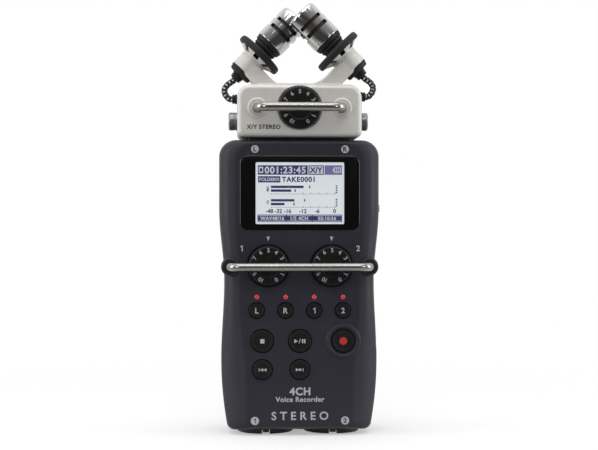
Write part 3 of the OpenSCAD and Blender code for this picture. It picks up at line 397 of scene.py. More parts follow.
def layFloor():
    bm = bmesh.new()
    bmesh.ops.create_circle(bm, cap_ends=True, segments=96, radius=1.6)
    mesh = bpy.data.meshes.new("floor")
    bm.to_mesh(mesh)
    bm.free()
    floor = bpy.data.objects.new("floor", mesh)
    bpy.context.scene.collection.objects.link(floor)
    paper = bpy.data.materials.new("floorPaper")
    paper.use_nodes = True
    tree = paper.node_tree
    shader = tree.nodes["Principled BSDF"]
    shader.inputs["Base Color"].default_value = (0.86, 0.86, 0.86, 1)
    shader.inputs["Roughness"].default_value = 0.9
    where = tree.nodes.new("ShaderNodeTexCoord")
    reach = tree.nodes.new("ShaderNodeVectorMath")
    reach.operation = "LENGTH"
    fade = tree.nodes.new("ShaderNodeMapRange")
    fade.interpolation_type = "SMOOTHSTEP"
    fade.inputs["From Min"].default_value = 0.05
    fade.inputs["From Max"].default_value = 0.32
    fade.inputs["To Min"].default_value = 0.6
    fade.inputs["To Max"].default_value = 0
    tree.links.new(where.outputs["Object"], reach.inputs[0])
    tree.links.new(reach.outputs["Value"], fade.inputs["Value"])
    tree.links.new(fade.outputs[0], shader.inputs["Alpha"])
    mesh.materials.append(paper)


finishes = {}


def plain(red, green, blue):
    # a colour as it looks on screen, made linear
    return tuple(((v / 255 + 0.055) / 1.055) ** 2.4 if v > 10 else v / 255 / 12.92
                 for v in (red, green, blue)) + (1,)


def makeFinish(name, look):
    # one moulded, turned or painted surface: mottled colour, uneven gloss and a fine grain
    finish = bpy.data.materials.new(name)
    finish.use_nodes = True
    tree = finish.node_tree
    shader = tree.nodes["Principled BSDF"]
    for socket, value in look.get("sockets", {}).items():
        shader.inputs[socket].default_value = value
    where = tree.nodes.new("ShaderNodeTexCoord")
    stretch = tree.nodes.new("ShaderNodeMapping")
    stretch.inputs["Scale"].default_value = look.get("stretch", (1, 1, 1))
    tree.links.new(where.outputs["Object"], stretch.inputs["Vector"])

    def noise(scale, detail=3, plainSpace=False):
        node = tree.nodes.new("ShaderNodeTexNoise")
        node.inputs["Scale"].default_value = scale
        node.inputs["Detail"].default_value = detail
        source = where.outputs["Object"] if plainSpace else stretch.outputs["Vector"]
        tree.links.new(source, node.inputs["Vector"])
        return node.outputs["Fac"]

    def ranged(value, low, high, fromLow=0.3, fromHigh=0.7):
        node = tree.nodes.new("ShaderNodeMapRange")
        node.inputs["From Min"].default_value = fromLow
        node.inputs["From Max"].default_value = fromHigh
        node.inputs["To Min"].default_value = low
        node.inputs["To Max"].default_value = high
        tree.links.new(value, node.inputs["Value"])
        return node.outputs[0]

    def mixed(amount, first, second):
        node = tree.nodes.new("ShaderNodeMix")
        node.data_type = "RGBA"
        for socket, colour in ((node.inputs["A"], first), (node.inputs["B"], second)):
            if isinstance(colour, tuple):
                socket.default_value = colour
            else:
                tree.links.new(colour, socket)
        tree.links.new(amount, node.inputs["Factor"])
        return node.outputs["Result"]

    colour = mixed(ranged(noise(look.get("mottle", 60), 4, True), 0, 1), plain(*look["colour"]),
                   plain(*look["shade"]))
    if "fleck" in look:
        fine = ranged(noise(look.get("fleckSize", 4000), 2), 0, look.get("fleckShare", 0.5), 0.55, 0.8)
        colour = mixed(fine, colour, plain(*look["fleck"]))
    if "worn" in look:
        edges = tree.nodes.new("ShaderNodeNewGeometry")
        rub = ranged(edges.outputs["Pointiness"], 0, look.get("wornShare", 0.35), 0.52, 0.6)
        colour = mixed(rub, colour, plain(*look["worn"]))
    tree.links.new(colour, shader.inputs["Base Color"])
    low, high = look["rough"]
    tree.links.new(ranged(noise(look.get("roughSize", 180), 5), low, high), shader.inputs["Roughness"])
    bump = tree.nodes.new("ShaderNodeBump")
    bump.inputs["Strength"].default_value = look.get("grainStrength", 0.5)
    bump.inputs["Distance"].default_value = look.get("grainDepth", 0.02) * millimetre
    if look.get("pebbled"):
        cells = tree.nodes.new("ShaderNodeTexVoronoi")
        cells.feature = "SMOOTH_F1"
        cells.inputs["Scale"].default_value = look.get("grain", 3500)
        tree.links.new(where.outputs["Object"], cells.inputs["Vector"])
        tree.links.new(cells.outputs["Distance"], bump.inputs["Height"])
    else:
        tree.links.new(noise(look.get("grain", 3500), 3), bump.inputs["Height"])
    tree.links.new(bump.outputs["Normal"], shader.inputs["Normal"])
    finishes[name] = finish
    return tree, shader


looks = {
    "casing_plastic": {"colour": (38, 37, 46), "shade": (42, 41, 50), "worn": (70, 69, 78),
                       "wornShare": 0.25, "rough": (0.42, 0.52), "pebbled": True, "grain": 2600,
                       "grainDepth": 0.05, "grainStrength": 0.25, "sockets": {"Specular IOR Level": 0.3}},
    "black_plastic": {"colour": (20, 20, 22), "shade": (25, 25, 27), "worn": (48, 48, 50),
                      "rough": (0.38, 0.5), "grain": 4200, "grainDepth": 0.015},
    "control_plastic": {"colour": (11, 11, 14), "shade": (14, 14, 17), "worn": (40, 40, 44),
                        "rough": (0.36, 0.5), "grain": 5200, "grainDepth": 0.012,
                        "sockets": {"Specular IOR Level": 0.3}},
    "rubber": {"colour": (24, 23, 25), "shade": (30, 29, 31), "worn": (60, 58, 58),
               "rough": (0.55, 0.7), "grain": 3800, "grainDepth": 0.03, "pebbled": True,
               "sockets": {"Specular IOR Level": 0.35}},
    "window_glass": {"colour": (5, 5, 7), "shade": (6, 6, 8), "rough": (0.03, 0.06), "grain": 300,
                     "grainDepth": 0.002, "grainStrength": 0.1, "sockets": {"Coat Weight": 0.6,
                     "Coat Roughness": 0.02}},
    "display": {"colour": (222, 229, 232), "shade": (230, 236, 238), "rough": (0.12, 0.2),
                "grain": 5000, "grainDepth": 0.004, "sockets": {"Coat Weight": 1.0,
                "Coat Roughness": 0.03, "Emission Strength": 0.16,
                "Emission Color": (0.78, 0.86, 0.9, 1)}},
    "displayInk": {"colour": (62, 60, 112), "shade": (72, 70, 120), "rough": (0.2, 0.3),
                   "grain": 5000, "grainDepth": 0.004, "sockets": {"Coat Weight": 1.0}},
    "displayPale": {"colour": (222, 224, 236), "shade": (212, 216, 228), "rough": (0.2, 0.3),
                    "grain": 5000, "grainDepth": 0.004, "sockets": {"Coat Weight": 1.0}},
    "displayMauve": {"colour": (132, 122, 178), "shade": (122, 112, 170), "rough": (0.2, 0.3),
                     "grain": 5000, "grainDepth": 0.004, "sockets": {"Coat Weight": 1.0}},
    "lamp": {"colour": (190, 40, 48), "shade": (205, 52, 58), "rough": (0.12, 0.2), "grain": 2000,
             "grainDepth": 0.01, "sockets": {"Coat Weight": 0.8, "Emission Strength": 0.12,
             "Emission Color": (0.8, 0.06, 0.07, 1)}},
    "print": {"colour": (178, 179, 184), "shade": (166, 167, 173), "rough": (0.45, 0.6),
              "grain": 5200, "grainDepth": 0.01},
    "printDark": {"colour": (52, 50, 50), "shade": (62, 60, 60), "rough": (0.45, 0.6),
                  "grain": 5200, "grainDepth": 0.01},
    "recordRed": {"colour": (184, 46, 30), "shade": (168, 38, 26), "rough": (0.4, 0.55),
                  "grain": 5200, "grainDepth": 0.01},
    "chrome": {"colour": (214, 213, 214), "shade": (202, 201, 202), "rough": (0.1, 0.16),
               "stretch": (1, 1, 1), "roughSize": 160, "grain": 1400, "grainDepth": 0.0012,
               "sockets": {"Metallic": 1.0}},
    "satinChrome": {"colour": (168, 165, 161), "shade": (156, 153, 150), "rough": (0.24, 0.3),
                    "stretch": (0.12, 1, 1), "grain": 5000, "grainDepth": 0.002,
                    "sockets": {"Metallic": 1.0}},
    "capsule_metal": {"colour": (214, 212, 206), "shade": (206, 204, 198), "worn": (226, 225, 221),
                      "wornShare": 0.5, "rough": (0.36, 0.46), "pebbled": True, "grain": 5200,
                      "grainDepth": 0.02, "grainStrength": 0.3, "sockets": {"Metallic": 0.2}},
    "steel": {"colour": (150, 150, 152), "shade": (128, 128, 130), "rough": (0.25, 0.42),
              "stretch": (1, 1, 0.1), "grain": 3500, "sockets": {"Metallic": 1.0}},
    "brushedSteel": {"colour": (150, 150, 152), "shade": (134, 134, 137), "rough": (0.3, 0.38),
                     "stretch": (1, 1, 0.1), "grain": 5000, "grainDepth": 0.003,
                     "sockets": {"Metallic": 0.9}},
    "brass": {"colour": (190, 158, 92), "shade": (170, 138, 78), "rough": (0.22, 0.38),
              "grain": 3500, "sockets": {"Metallic": 1.0}},
    "circuit_board": {"colour": (22, 66, 42), "shade": (30, 84, 52), "fleck": (96, 130, 90),
                      "fleckSize": 900, "rough": (0.3, 0.45), "grain": 1500, "grainDepth": 0.04},
    "cell_jacket": {"colour": (34, 34, 38), "shade": (40, 40, 44), "rough": (0.22, 0.34),
                    "grain": 1200, "grainDepth": 0.01, "sockets": {"Metallic": 0.3}},
    "cellBand": {"colour": (186, 134, 62), "shade": (172, 120, 54), "rough": (0.22, 0.32),
                 "grain": 1200, "grainDepth": 0.01, "sockets": {"Metallic": 0.8}},
    "card": {"colour": (26, 44, 86), "shade": (32, 52, 98), "rough": (0.35, 0.5), "grain": 3000},
    "mesh": {"colour": (58, 49, 42), "shade": (40, 34, 30), "fleck": (120, 108, 96),
             "fleckSize": 3200, "rough": (0.4, 0.6), "grain": 2600, "grainDepth": 0.08,
             "sockets": {"Metallic": 0.7}},
    "wheel_plastic": {"colour": (126, 126, 132), "shade": (112, 112, 118), "worn": (170, 170, 176),
                      "rough": (0.4, 0.52), "grain": 4200},
}


def addBraid():
    # the leads: black plait with pale threads crossing it, along the tube's own map
    tree, shader = makeFinish("braid", {"colour": (26, 25, 27), "shade": (34, 33, 35),
                                        "rough": (0.55, 0.75), "grain": 6000})
    where = tree.nodes.new("ShaderNodeUVMap")
    split = tree.nodes.new("ShaderNodeSeparateXYZ")
    tree.links.new(where.outputs["UV"], split.inputs[0])

    def maths(operation, first, second=None):
        node = tree.nodes.new("ShaderNodeMath")
        node.operation = operation
        for socket, value in zip(node.inputs, (first, second)):
            if value is None:
                continue
            if isinstance(value, (int, float)):
                socket.default_value = value
            else:
                tree.links.new(value, socket)
        return node.outputs[0]

    along = maths("MULTIPLY", split.outputs["X"], braid["plaits"] * math.tau)
    around = maths("MULTIPLY", split.outputs["Y"], braid["starts"] * math.tau)
    one = maths("SINE", maths("ADD", along, around))
    other = maths("SINE", maths("SUBTRACT", along, around))
    pale = maths("GREATER_THAN", maths("MINIMUM", one, other), braid["threadEdge"])
    colour = tree.nodes.new("ShaderNodeMix")
    colour.data_type = "RGBA"
    old = shader.inputs["Base Color"].links[0].from_socket
    tree.links.new(old, colour.inputs["A"])
    colour.inputs["B"].default_value = plain(214, 212, 208)
    tree.links.new(pale, colour.inputs["Factor"])
    tree.links.new(colour.outputs["Result"], shader.inputs["Base Color"])
    bump = tree.nodes.new("ShaderNodeBump")
    bump.inputs["Distance"].default_value = braid["relief"] * millimetre
    tree.links.new(maths("MAXIMUM", maths("ABSOLUTE", one), maths("ABSOLUTE", other)),
                   bump.inputs["Height"])
    fine = shader.inputs["Normal"].links[0].from_socket
    tree.links.new(fine, bump.inputs["Normal"])
    tree.links.new(bump.outputs["Normal"], shader.inputs["Normal"])


braid = {"plaits": 9, "starts": 2, "threadEdge": 0.25, "relief": 0.25}


casing = {
    "hipWidth": 65.1, "waistWidth": 62.6, "shoulderWidth": casingHigh.x * 2, "footWidth": 59.4,
    "hipHeight": 31, "waistHeight": 64, "shoulderHeight": 94,
    "faceFootWidth": 43, "shoulderBand": 7.5, "shoulderDepth": 8, "creaseLow": 20, "creaseHigh": 56,
    "backRound": 5, "endRound": 1.8, "topCorner": 7, "footCorner": 2.5, "wall": 2,
    "creaseSlope": 0.42, "seam": 0.14,
}


def between(a, b, share):
    return a + (b - a) * share


def eased(share):
    return (1 - math.cos(math.pi * min(max(share, 0), 1))) / 2


def bodyHalf(z):
    c = casing
    if z < c["hipHeight"]:
        share = (c["hipHeight"] - z) / (c["hipHeight"] - casingLow.z)
        return between(c["hipWidth"], c["footWidth"], share ** 2) / 2
    if z < c["waistHeight"]:
        share = (z - c["hipHeight"]) / (c["waistHeight"] - c["hipHeight"])
        return between(c["hipWidth"], c["waistWidth"], eased(share)) / 2
    share = (z - c["waistHeight"]) / (c["shoulderHeight"] - c["waistHeight"])
    return between(c["waistWidth"], c["shoulderWidth"], eased(share)) / 2


def faceHalf(z):
    share = (z - casing["creaseLow"]) / (casing["creaseHigh"] - casing["creaseLow"])
    return between(casing["faceFootWidth"] / 2, bodyHalf(z) - casing["shoulderBand"], eased(share))


def sideLine(drawnIn, inset, isFront, cornerSteps=8, sideSteps=44):
    # right side of the outline, foot to top; drawnIn is 1 at the flat front or back, 0 at full width
    low = casingLow.z + inset + drawnIn * casing["endRound"]
    high = casingHigh.z - inset - drawnIn * casing["endRound"]
    foot = max(casing["footCorner"] - inset, 0.5)
    top = max(casing["topCorner"] - inset, 0.5)

    def spot(z, cut):
        step = bodyHalf(z) - faceHalf(z) if isFront else casing["backRound"]
        return (bodyHalf(z) - drawnIn * step - inset - cut, z)

    line = []
    for i in range(cornerSteps + 1):
        a = math.pi / 2 * i / cornerSteps
        line.append(spot(low + foot * (1 - math.cos(a)), foot * (1 - math.sin(a))))
    for i in range(1, sideSteps):
        line.append(spot(between(low + foot, high - top, i / sideSteps), 0))
    for i in range(cornerSteps, -1, -1):
        a = math.pi / 2 * i / cornerSteps
        line.append(spot(high - top * (1 - math.cos(a)), top * (1 - math.sin(a))))
    return line


def outline(drawnIn, inset, isFront):
    right = sideLine(drawnIn, inset, isFront)
    return right + [(-x, z) for x, z in reversed(right)]


def shoulderDrop(share, z):
    # how far the shoulder has turned back; low down it leaves the flat front at a crease
    crease = casing["creaseSlope"] * (1 - eased((z - 34) / 26))
    curve = 1 - math.sqrt(max(1 - share * share, 0))
    return casing["shoulderDepth"] * (crease * share + (1 - crease) * curve)


def frontSkin():
    rings = []
    steps = 14
    for i in range(steps + 1):
        share = math.sin(math.pi / 2 * i / steps)
        rings.append([(x, frontY + shoulderDrop(share, z), z) for x, z in outline(1 - share, 0, True)])
    seam = casing["seam"]
    rings.append([(x, midY - 2 * seam, z) for x, z in outline(0, 0, True)])
    rings.append([(x, midY, z) for x, z in outline(0, seam, True)])
    return lofted(rings)


def rearSkin():
    seam = casing["seam"]
    rings = [[(x, midY, z) for x, z in outline(0, seam, False)],
             [(x, midY + 2 * seam, z) for x, z in outline(0, 0, False)]]
    steps = 10
    for i in range(steps + 1):
        a = math.pi / 2 * i / steps
        rings.append([(x, backY - casing["backRound"] * (1 - math.sin(a)), z)
                      for x, z in outline(1 - math.cos(a), 0, False)])
    return lofted(rings)


def cavity(drawnIn, isFront, y0, y1):
    points = outline(drawnIn, casing["wall"], isFront)
    return lofted([[(x, y, z) for x, z in points] for y in (y0, y1)])


sides = {
    "miniRadius": 3.1, "menuRadius": 2.7, "wheelGap": 0.3,
    "powerSlot": 6.8, "powerWidth": 1.8, "lip": 0.25,
}


def wheelSlot(node, gap):
    # the window that a side wheel shows through
    low, high = nodeBox(node)
    middle = (low + high) / 2
    radius = (high.z - low.z) / 2
    thick = {"scroll_wheel": 5, "volume_wheel": 2.6}[node] / 2 + gap
    return brick((-60, middle.y - thick, middle.z - radius * 0.8 - gap),
                 (middle.x, middle.y + thick, middle.z + radius * 0.8 + gap), 0.25)


def sideCuts():
    cuts = []
    for node in ("headphone_jack", "line_jack"):
        low, high = nodeBox(node)
        spot = (low.x - 0.1, (low.y + high.y) / 2 + 0.05, (low.z + high.z) / 2)
        cuts.append(placed(flaredHole(sides["miniRadius"], 6, 0.3, 3), onSide(-1, *spot)))
    menu = nodeMiddle("menu_button")
    menuFace = nodeBox("menu_button")[0].x - 0.1
    cuts.append(placed(flaredHole(sides["menuRadius"], 7, 0.3, 3), onSide(-1, menuFace, menu.y, menu.z)))
    cuts.append(wheelSlot("scroll_wheel", sides["wheelGap"]))
    cuts.append(wheelSlot("volume_wheel", sides["wheelGap"]))
    power = nodeMiddle("power_switch")
    reach = sides["powerWidth"]
    cuts.append(brick((27.4, power.y - reach, power.z - sides["powerSlot"] / 2),
                      (60, power.y + reach, power.z + sides["powerSlot"] / 2)))
    low, high = nodeBox("usb_socket")
    cuts.append(brick((25.4, low.y - 0.1, low.z - 0.1), (60, high.y + 0.1, high.z + 0.1)))
    low, high = nodeBox("card_door")
    cuts.append(brick((high.x - 4.7, low.y - 0.3, low.z + 0.9), (60, high.y + 0.3, high.z - 0.9)))
    return cuts


def neckCut():
    low, high = nodeBox("connector_tongue")
    return brick((low.x + 1.4, low.y + 1.4, casingHigh.z - 3),
                 (high.x - 1.4, high.y - 1.4, casingHigh.z + 1))


def jackCuts():
    return [rod(11.75, (nodeMiddle(node).x, midY, 0), (nodeMiddle(node).x, midY, 5.8), 96)
            for node in ("combo_jack_1", "combo_jack_2")]


window = {"lip": 0.3, "gap": 0.1, "radius": 3.5, "pocket": 1.2, "opening": (39.7, 28.6)}
frontButtons = ["track_button_l", "track_button_r", "track_button_1", "track_button_2",
                "stop_button", "play_button", "record_button", "rewind_button", "forward_button"]
buttonSizes = {"gap": 0.3, "flange": 0.8, "lip": 0.28}


def buttonRadius(node):
    low, high = nodeBox(node)
    return (high.x - low.x) / 2 - buttonSizes["flange"]


def lampSpots():
    return [(nodeMiddle(node).x, nodeMiddle("indicator_lenses").z) for node in frontButtons[:4]]


def makeFrontCasing():
    wall = casing["wall"]
    shell = combined(frontSkin(), [cavity(1, True, frontY + wall, frontY + 6.5),
                                   cavity(0, True, frontY + 6, midY + 1)])
    low, high = nodeBox("display_window")
    middle = (low + high) / 2
    gap = window["gap"]
    cuts = [
        placed(flaredPad(high.x - low.x + 2 * gap, high.z - low.z + 2 * gap, window["radius"] + gap,
                         window["pocket"], window["lip"]), onFront(0, middle.z)),
        placed(pad(*window["opening"], 0.4, -4, -0.5, 0), onFront(0, middle.z)),
    ]
    for node in ("gain_knob_1", "gain_knob_2"):
        low, high = nodeBox(node)
        spot = (low + high) / 2
        radius = (high.z - low.z) / 2 + buttonSizes["gap"]
        cuts.append(placed(flaredHole(radius, 1.2, 0.35), onFront(spot.x, spot.z)))
        cuts.append(placed(flaredHole(3, 4, 0.1), onFront(spot.x, spot.z, frontY + 1.2)))
    for node in frontButtons:
        spot = nodeMiddle(node)
        radius = buttonRadius(node) + buttonSizes["gap"]
        cuts.append(placed(flaredHole(radius, 4, buttonSizes["lip"]), onFront(spot.x, spot.z)))
    for x, z in lampSpots():
        cuts.append(placed(flaredHole(1.05, 4, 0.15, steps=40), onFront(x, z)))
    for side in (-1, 1):
        bar = nodeBox("guard_bar")[1]
        x, z = side * (bar.x - 1.75), nodeMiddle("guard_bar").z
        cuts.append(rod(1.9, (x, frontY - 2, z), (x, frontY + 9, z)))
    cuts += sideCuts() + [neckCut()] + jackCuts()
    finishPiece("frontCasing", combined(shell, cuts), "recorder", "casing_plastic", ["front_casing"],
                sharp=32, weighted=True)
    print("front casing")


bay = {"half": 15, "front": 4.25, "low": 29.4, "high": 84.9, "wall": 1.3, "ledge": 1.2}
speakerSlots = {"count": 5, "pitch": 2.4, "width": 10, "height": 1.2}


def makeRearCasing():
    wall = casing["wall"]
    inner = backY - wall
    cover = nodeBox("battery_cover")
    coverHalf = cover[1].x - 1.3
    coverLow, coverHigh = cover[0].z + 0.95, cover[1].z
    shell = combined(rearSkin(), [cavity(1, False, midY - 1, inner),
                                  cavity(0, False, midY - 1, backY - casing["backRound"])])
    posts = [
        brick((-bay["half"] - bay["wall"], bay["front"] - bay["wall"], bay["low"] - bay["wall"]),
              (bay["half"] + bay["wall"], inner, bay["high"] + bay["wall"])),
        brick((-coverHalf - 2, inner - bay["ledge"], coverLow - 3), (coverHalf + 2, inner, coverHigh + 2)),
    ]
    tripod = nodeMiddle("tripod_insert")
    posts.append(rod(6, (0, backY - 10, tripod.z), (0, backY - 1, tripod.z)))
    screwLow, screwHigh = nodeBox("casing_screws")
    screwSpots = [(side * (screwHigh.x - 2.1), z) for side in (-1, 1)
                  for z in (screwLow.z + 2.1, screwHigh.z - 2.1)]
    posts += [rod(2.4, (x, midY + 0.2, z), (x, backY - 1, z)) for x, z in screwSpots]
    shell = combined(shell, posts, "UNION")
    cuts = [
        brick((-bay["half"], bay["front"], bay["low"]), (bay["half"], backY + 1, bay["high"])),
        brick((-coverHalf - 0.3, inner, coverLow - 0.3), (coverHalf + 0.3, backY + 1, coverHigh + 0.3)),
        rod(0.8, (-coverHalf - 1.5, backY - 0.95, coverLow), (coverHalf + 1.5, backY - 0.95, coverLow)),
        placed(flaredHole(4.55, 12, 0.25), onBack(0, tripod.z)),
    ]
    speaker = nodeMiddle("speaker")
    for i in range(speakerSlots["count"]):
        z = speaker.z + (i - (speakerSlots["count"] - 1) / 2) * speakerSlots["pitch"]
        cuts.append(placed(flaredPad(speakerSlots["width"], speakerSlots["height"], 0.55, 3.4, 0.2),
                           onBack(0, z)))
    for x, z in screwSpots:
        cuts.append(rod(1.25, (x, midY - 1, z), (x, backY, z)))
        cuts.append(placed(flaredHole(2.2, 4, 0.3), onBack(x, z)))
    cuts += sideCuts() + [neckCut()] + jackCuts()
    finishPiece("rearCasing", combined(shell, cuts), "recorder", "casing_plastic", ["rear_casing"],
                sharp=32, weighted=True)
    print("rear casing")


ringSizes = {"radius": 6.3, "tube": 1.1, "sunk": 0.4}


def makeFrontRings():
    spot = nodeMiddle("record_button")
    around = [(ringSizes["radius"] + ringSizes["tube"] * math.cos(a), ringSizes["tube"] * math.sin(a))
              for a in (math.tau * i / 24 for i in range(24))]
    ring = placed(turned(around, 96, True), onFront(spot.x, spot.z, frontY + ringSizes["sunk"]))
    finishPiece("recordRing", ring, "recorder", "casing_plastic", sharp=60)
    bar = nodeBox("guard_bar")[1]
    parts = []
    for side in (-1, 1):
        boss = turned([(1.8, -6), (1.8, 0.1, 0.25), (2.5, 0.2, 0.2), (2.8, 0.6, 0.35), (3.85, 0.5, 0.9),
                       (3.85, -6)], 72, True)
        parts.append(placed(boss, onFront(side * (bar.x - 1.75), nodeMiddle("guard_bar").z)))
    finishPiece("guardBosses", joined(parts), "recorder", "black_plastic", sharp=40)
    print("rings and bosses")


def bentBar(node, thick, bend, legY):
    low, high = nodeBox(node)
    z = (low.z + high.z) / 2
    x, y = high.x - thick / 2, low.y + thick / 2
    arc = [math.pi / 2 * i / 16 for i in range(17)]
    right = [(x, legY, z)] + [(x - bend + bend * math.cos(a), y + bend - bend * math.sin(a), z) for a in arc]
    straight = [(x - bend - (x - bend) * 2 * i / 12, y, z) for i in range(1, 12)]
    left = [(-px, py, pz) for px, py, pz in reversed(right)]
    return tube(right + straight + left, thick / 2, 14)


def makeGuardBars():
    finishPiece("guardBar", bentBar("guard_bar", 3.5, 4.5, nodeBox("guard_bar")[1].y), "recorder",
                "chrome", ["guard_bar"], sharp=50, material="satinChrome")
    finishPiece("capsuleGuardBar", bentBar("capsule_guard_bar", 3.7, 4.5,
                nodeBox("capsule_guard_bar")[1].y), "capsule", "chrome", ["capsule_guard_bar"],
                sharp=50, material="satinChrome")
    print("guard bars")


dialSizes = {
    "numeralHeight": 1.75, "rimDepth": 0.32, "dish": 0.56, "dishDepth": 0.3,
    "stemRadius": 1.5, "numerals": 11, "numeralStep": 30,
}


def fluted(bm, radius, flutes, depth, above):
    # presses the grip notches into a dial's rim
    for vert in bm.verts:
        reach = math.hypot(vert.co.x, vert.co.y)
        if reach > radius - 0.75 and vert.co.z > above:
            angle = math.atan2(vert.co.y, vert.co.x)
            notch = max(math.cos(angle * flutes), -0.1)
            share = (reach - radius + 0.75) / 0.75
            shrink = 1 - depth * (0.5 + 0.5 * notch) * share / reach
            vert.co.x *= shrink
            vert.co.y *= shrink
    return bm


def makeDial(name, node, flutes, numeralAt):
    low, high = nodeBox(node)
    middle = (low + high) / 2
    radius = (high.z - low.z) / 2 + 0.01
    face = frontY if node != "level_dial" else capsuleFrontY
    stand = face - low.y
    stem = face - high.y
    rear = -0.9 if node != "level_dial" else -0.7
    dish = radius * dialSizes["dish"]
    stemRadius = dialSizes["stemRadius"]
    profile = [(0, stem), (stemRadius, stem), (stemRadius, rear), (radius - 0.4, rear, 0.2),
               (radius, rear + 0.5, 0.2), (radius, stand - 0.75, 0.25), (radius - 0.75, stand, 0.3),
               (dish, stand, 0.2), (dish - 0.35, stand - dialSizes["dishDepth"], 0.25),
               (0, stand - dialSizes["dishDepth"] + 0.1)]
    bm = turned(profile, flutes * 6)
    fluted(bm, radius, flutes, dialSizes["rimDepth"], rear + 0.2)
    place = onFront(middle.x, middle.z, face)
    finishPiece(name, placed(bm, place), node, "control_plastic", [node], sharp=50)
    numerals = []
    for value in range(dialSizes["numerals"]):
        step = value - (dialSizes["numerals"] - 1) / 2
        turn = Matrix.Rotation(math.radians(step * dialSizes["numeralStep"]), 4, "Z")
        digits = lettering(str(value), dialSizes["numeralHeight"], 0.03, 0.12, 0.9)
        numerals.append(placed(digits, place @ turn @ Matrix.Translation((0, numeralAt, stand))))
    finishPiece(name + "Numerals", joined(numerals), node, "control_plastic", sharp=30, material="print")


def makeDials():
    makeDial("gainKnobOne", "gain_knob_1", 36, 6.45)
    makeDial("gainKnobTwo", "gain_knob_2", 36, 6.45)
    makeDial("levelDial", "level_dial", 40, 6.6)
    print("dials")


def triangle(width, height, pointing=1):
    foot = -pointing * width / 2
    return [(foot, height / 2), (foot, -height / 2), (pointing * width / 2, 0)]


def moved(points, x, y=0):
    return [(px + x, py + y) for px, py in points]


def boxed(width, height):
    return roundRect(width, height, 0.04, steps=2)


def buttonSign(node):
    # the printed signs, each standing on Z = 0
    if node.startswith("track_button_"):
        return [lettering(node[-1].upper(), 2.35, 0.03, 0.25)]
    if node == "stop_button":
        return [sign(boxed(1.75, 1.75))]
    if node == "play_button":
        return [sign(moved(triangle(1.55, 1.75), -1.6)),
                sign([(-0.55, -0.95), (-0.3, -0.95), (0.3, 0.95), (0.05, 0.95)]),
                sign(moved(boxed(0.55, 1.7), 1.1)), sign(moved(boxed(0.55, 1.7), 2.0))]
    if node == "record_button":
        return [turned([(0, -0.01), (1.6, -0.01), (1.6, 0.04), (0, 0.04)], 48)]
    flip = -1 if node == "rewind_button" else 1
    return [sign(moved(triangle(1.35, 1.35, flip), flip * -1.05)),
            sign(moved(triangle(1.35, 1.35, flip), flip * 0.3)),
            sign(moved(boxed(0.3, 1.35), flip * 1.3))]


def makeFrontButtons():
    for node in frontButtons:
        low, high = nodeBox(node)
        middle = (low + high) / 2
        radius = buttonRadius(node)
        stand = frontY - low.y
        skirt, end = -(casing["wall"] + 0.3), frontY - high.y
        profile = [(0, end), (1.2, end), (1.2, skirt - 0.8), (radius + 0.8, skirt - 0.8, 0.1),
                   (radius + 0.8, skirt, 0.1), (radius, skirt), (radius, stand, 0.4),
                   (radius - 0.85, stand - 0.02, 0.15), (radius - 1.15, stand - 0.14, 0.2), (0, stand - 0.1)]
        first, *others = node.split("_")
        name = first + "".join(word.capitalize() for word in others)
        place = onFront(middle.x, middle.z)
        finishPiece(name, placed(turned(profile, 72), place), node, "control_plastic", [node], sharp=50)
        signs = placed(joined(buttonSign(node)), place @ Matrix.Translation((0, 0, stand - 0.11)))
        finishPiece(name + "Sign", signs, node, "control_plastic", sharp=30,
                    material="recordRed" if node == "record_button" else "print")
    print("front buttons")


def makeLamps():
    parts = []
    for x, z in lampSpots():
        profile = [(0, -8.8), (1, -8.8), (1, -0.15)]
        for i in range(1, 8):
            a = math.pi / 2 * i / 8
            profile.append((math.cos(a), -0.15 + 0.35 * math.sin(a)))
        parts.append(placed(turned(profile + [(0, 0.2)], 40), onFront(x, z)))
    finishPiece("trackLamps", joined(parts), "recorder", "lamp", ["indicator_lenses"], sharp=50)
    print("lamps")


def makePrints():
    parts = []
    for node, label in (("gain_knob_1", "1"), ("gain_knob_2", "2")):
        spot = nodeMiddle(node)
        arrow = sign([(-0.7, 0.95), (0, -0.95), (0.7, 0.95)])
        parts.append(placed(arrow, onFront(spot.x, spot.z + 11.1)))
        side = math.copysign(1, spot.x)
        parts.append(placed(lettering(label, 2.4, heavy=0.25), onFront(side * 24.1, spot.z + 7.2)))
    parts.append(placed(lettering("4CH", 3.3, heavy=0.35, spacing=1.1), onFront(0, 18.3)))
    parts.append(placed(lettering("Voice Recorder", 2.15, heavy=0.28, spacing=1.08), onFront(0, 15)))
    parts.append(placed(lettering("STEREO", 3.5, heavy=0.22, spacing=1.62), onFront(0, 8.2)))
    finishPiece("frontPrint", joined(parts), "recorder", "casing_plastic", sharp=30, material="print")
    badges, letters = [], []
    for label, x, z, radius in (("L", -18.6, 118.4, 1.6), ("R", 18.7, 118.4, 1.6),
                                ("1", -18.6, 6.2, 1.7), ("2", 18.7, 6.2, 1.7)):
        disc = turned([(0, -0.01), (radius, -0.01), (radius, 0.03), (0, 0.03)], 48)
        badges.append(placed(disc, onFront(x, z)))
        letters.append(placed(lettering(label, 2.0, 0.045, 0.45), onFront(x, z)))
    finishPiece("badges", joined(badges), "recorder", "casing_plastic", sharp=30, material="print")
    finishPiece("badgeLetters", joined(letters), "recorder", "casing_plastic", sharp=30,
                material="printDark")
    mark = lettering("X/Y STEREO", 1.85, heavy=0.35, spacing=1.1)
    finishPiece("capsulePrint", placed(mark, onFront(-15, 127.7, capsuleFrontY)), "capsule",
                "capsule_metal", sharp=30, material="printDark")
    print("printed signs")


screen = {"width": 36.7, "height": 25.6, "behind": 0.12, "corner": 0.6, "play": 0.04}


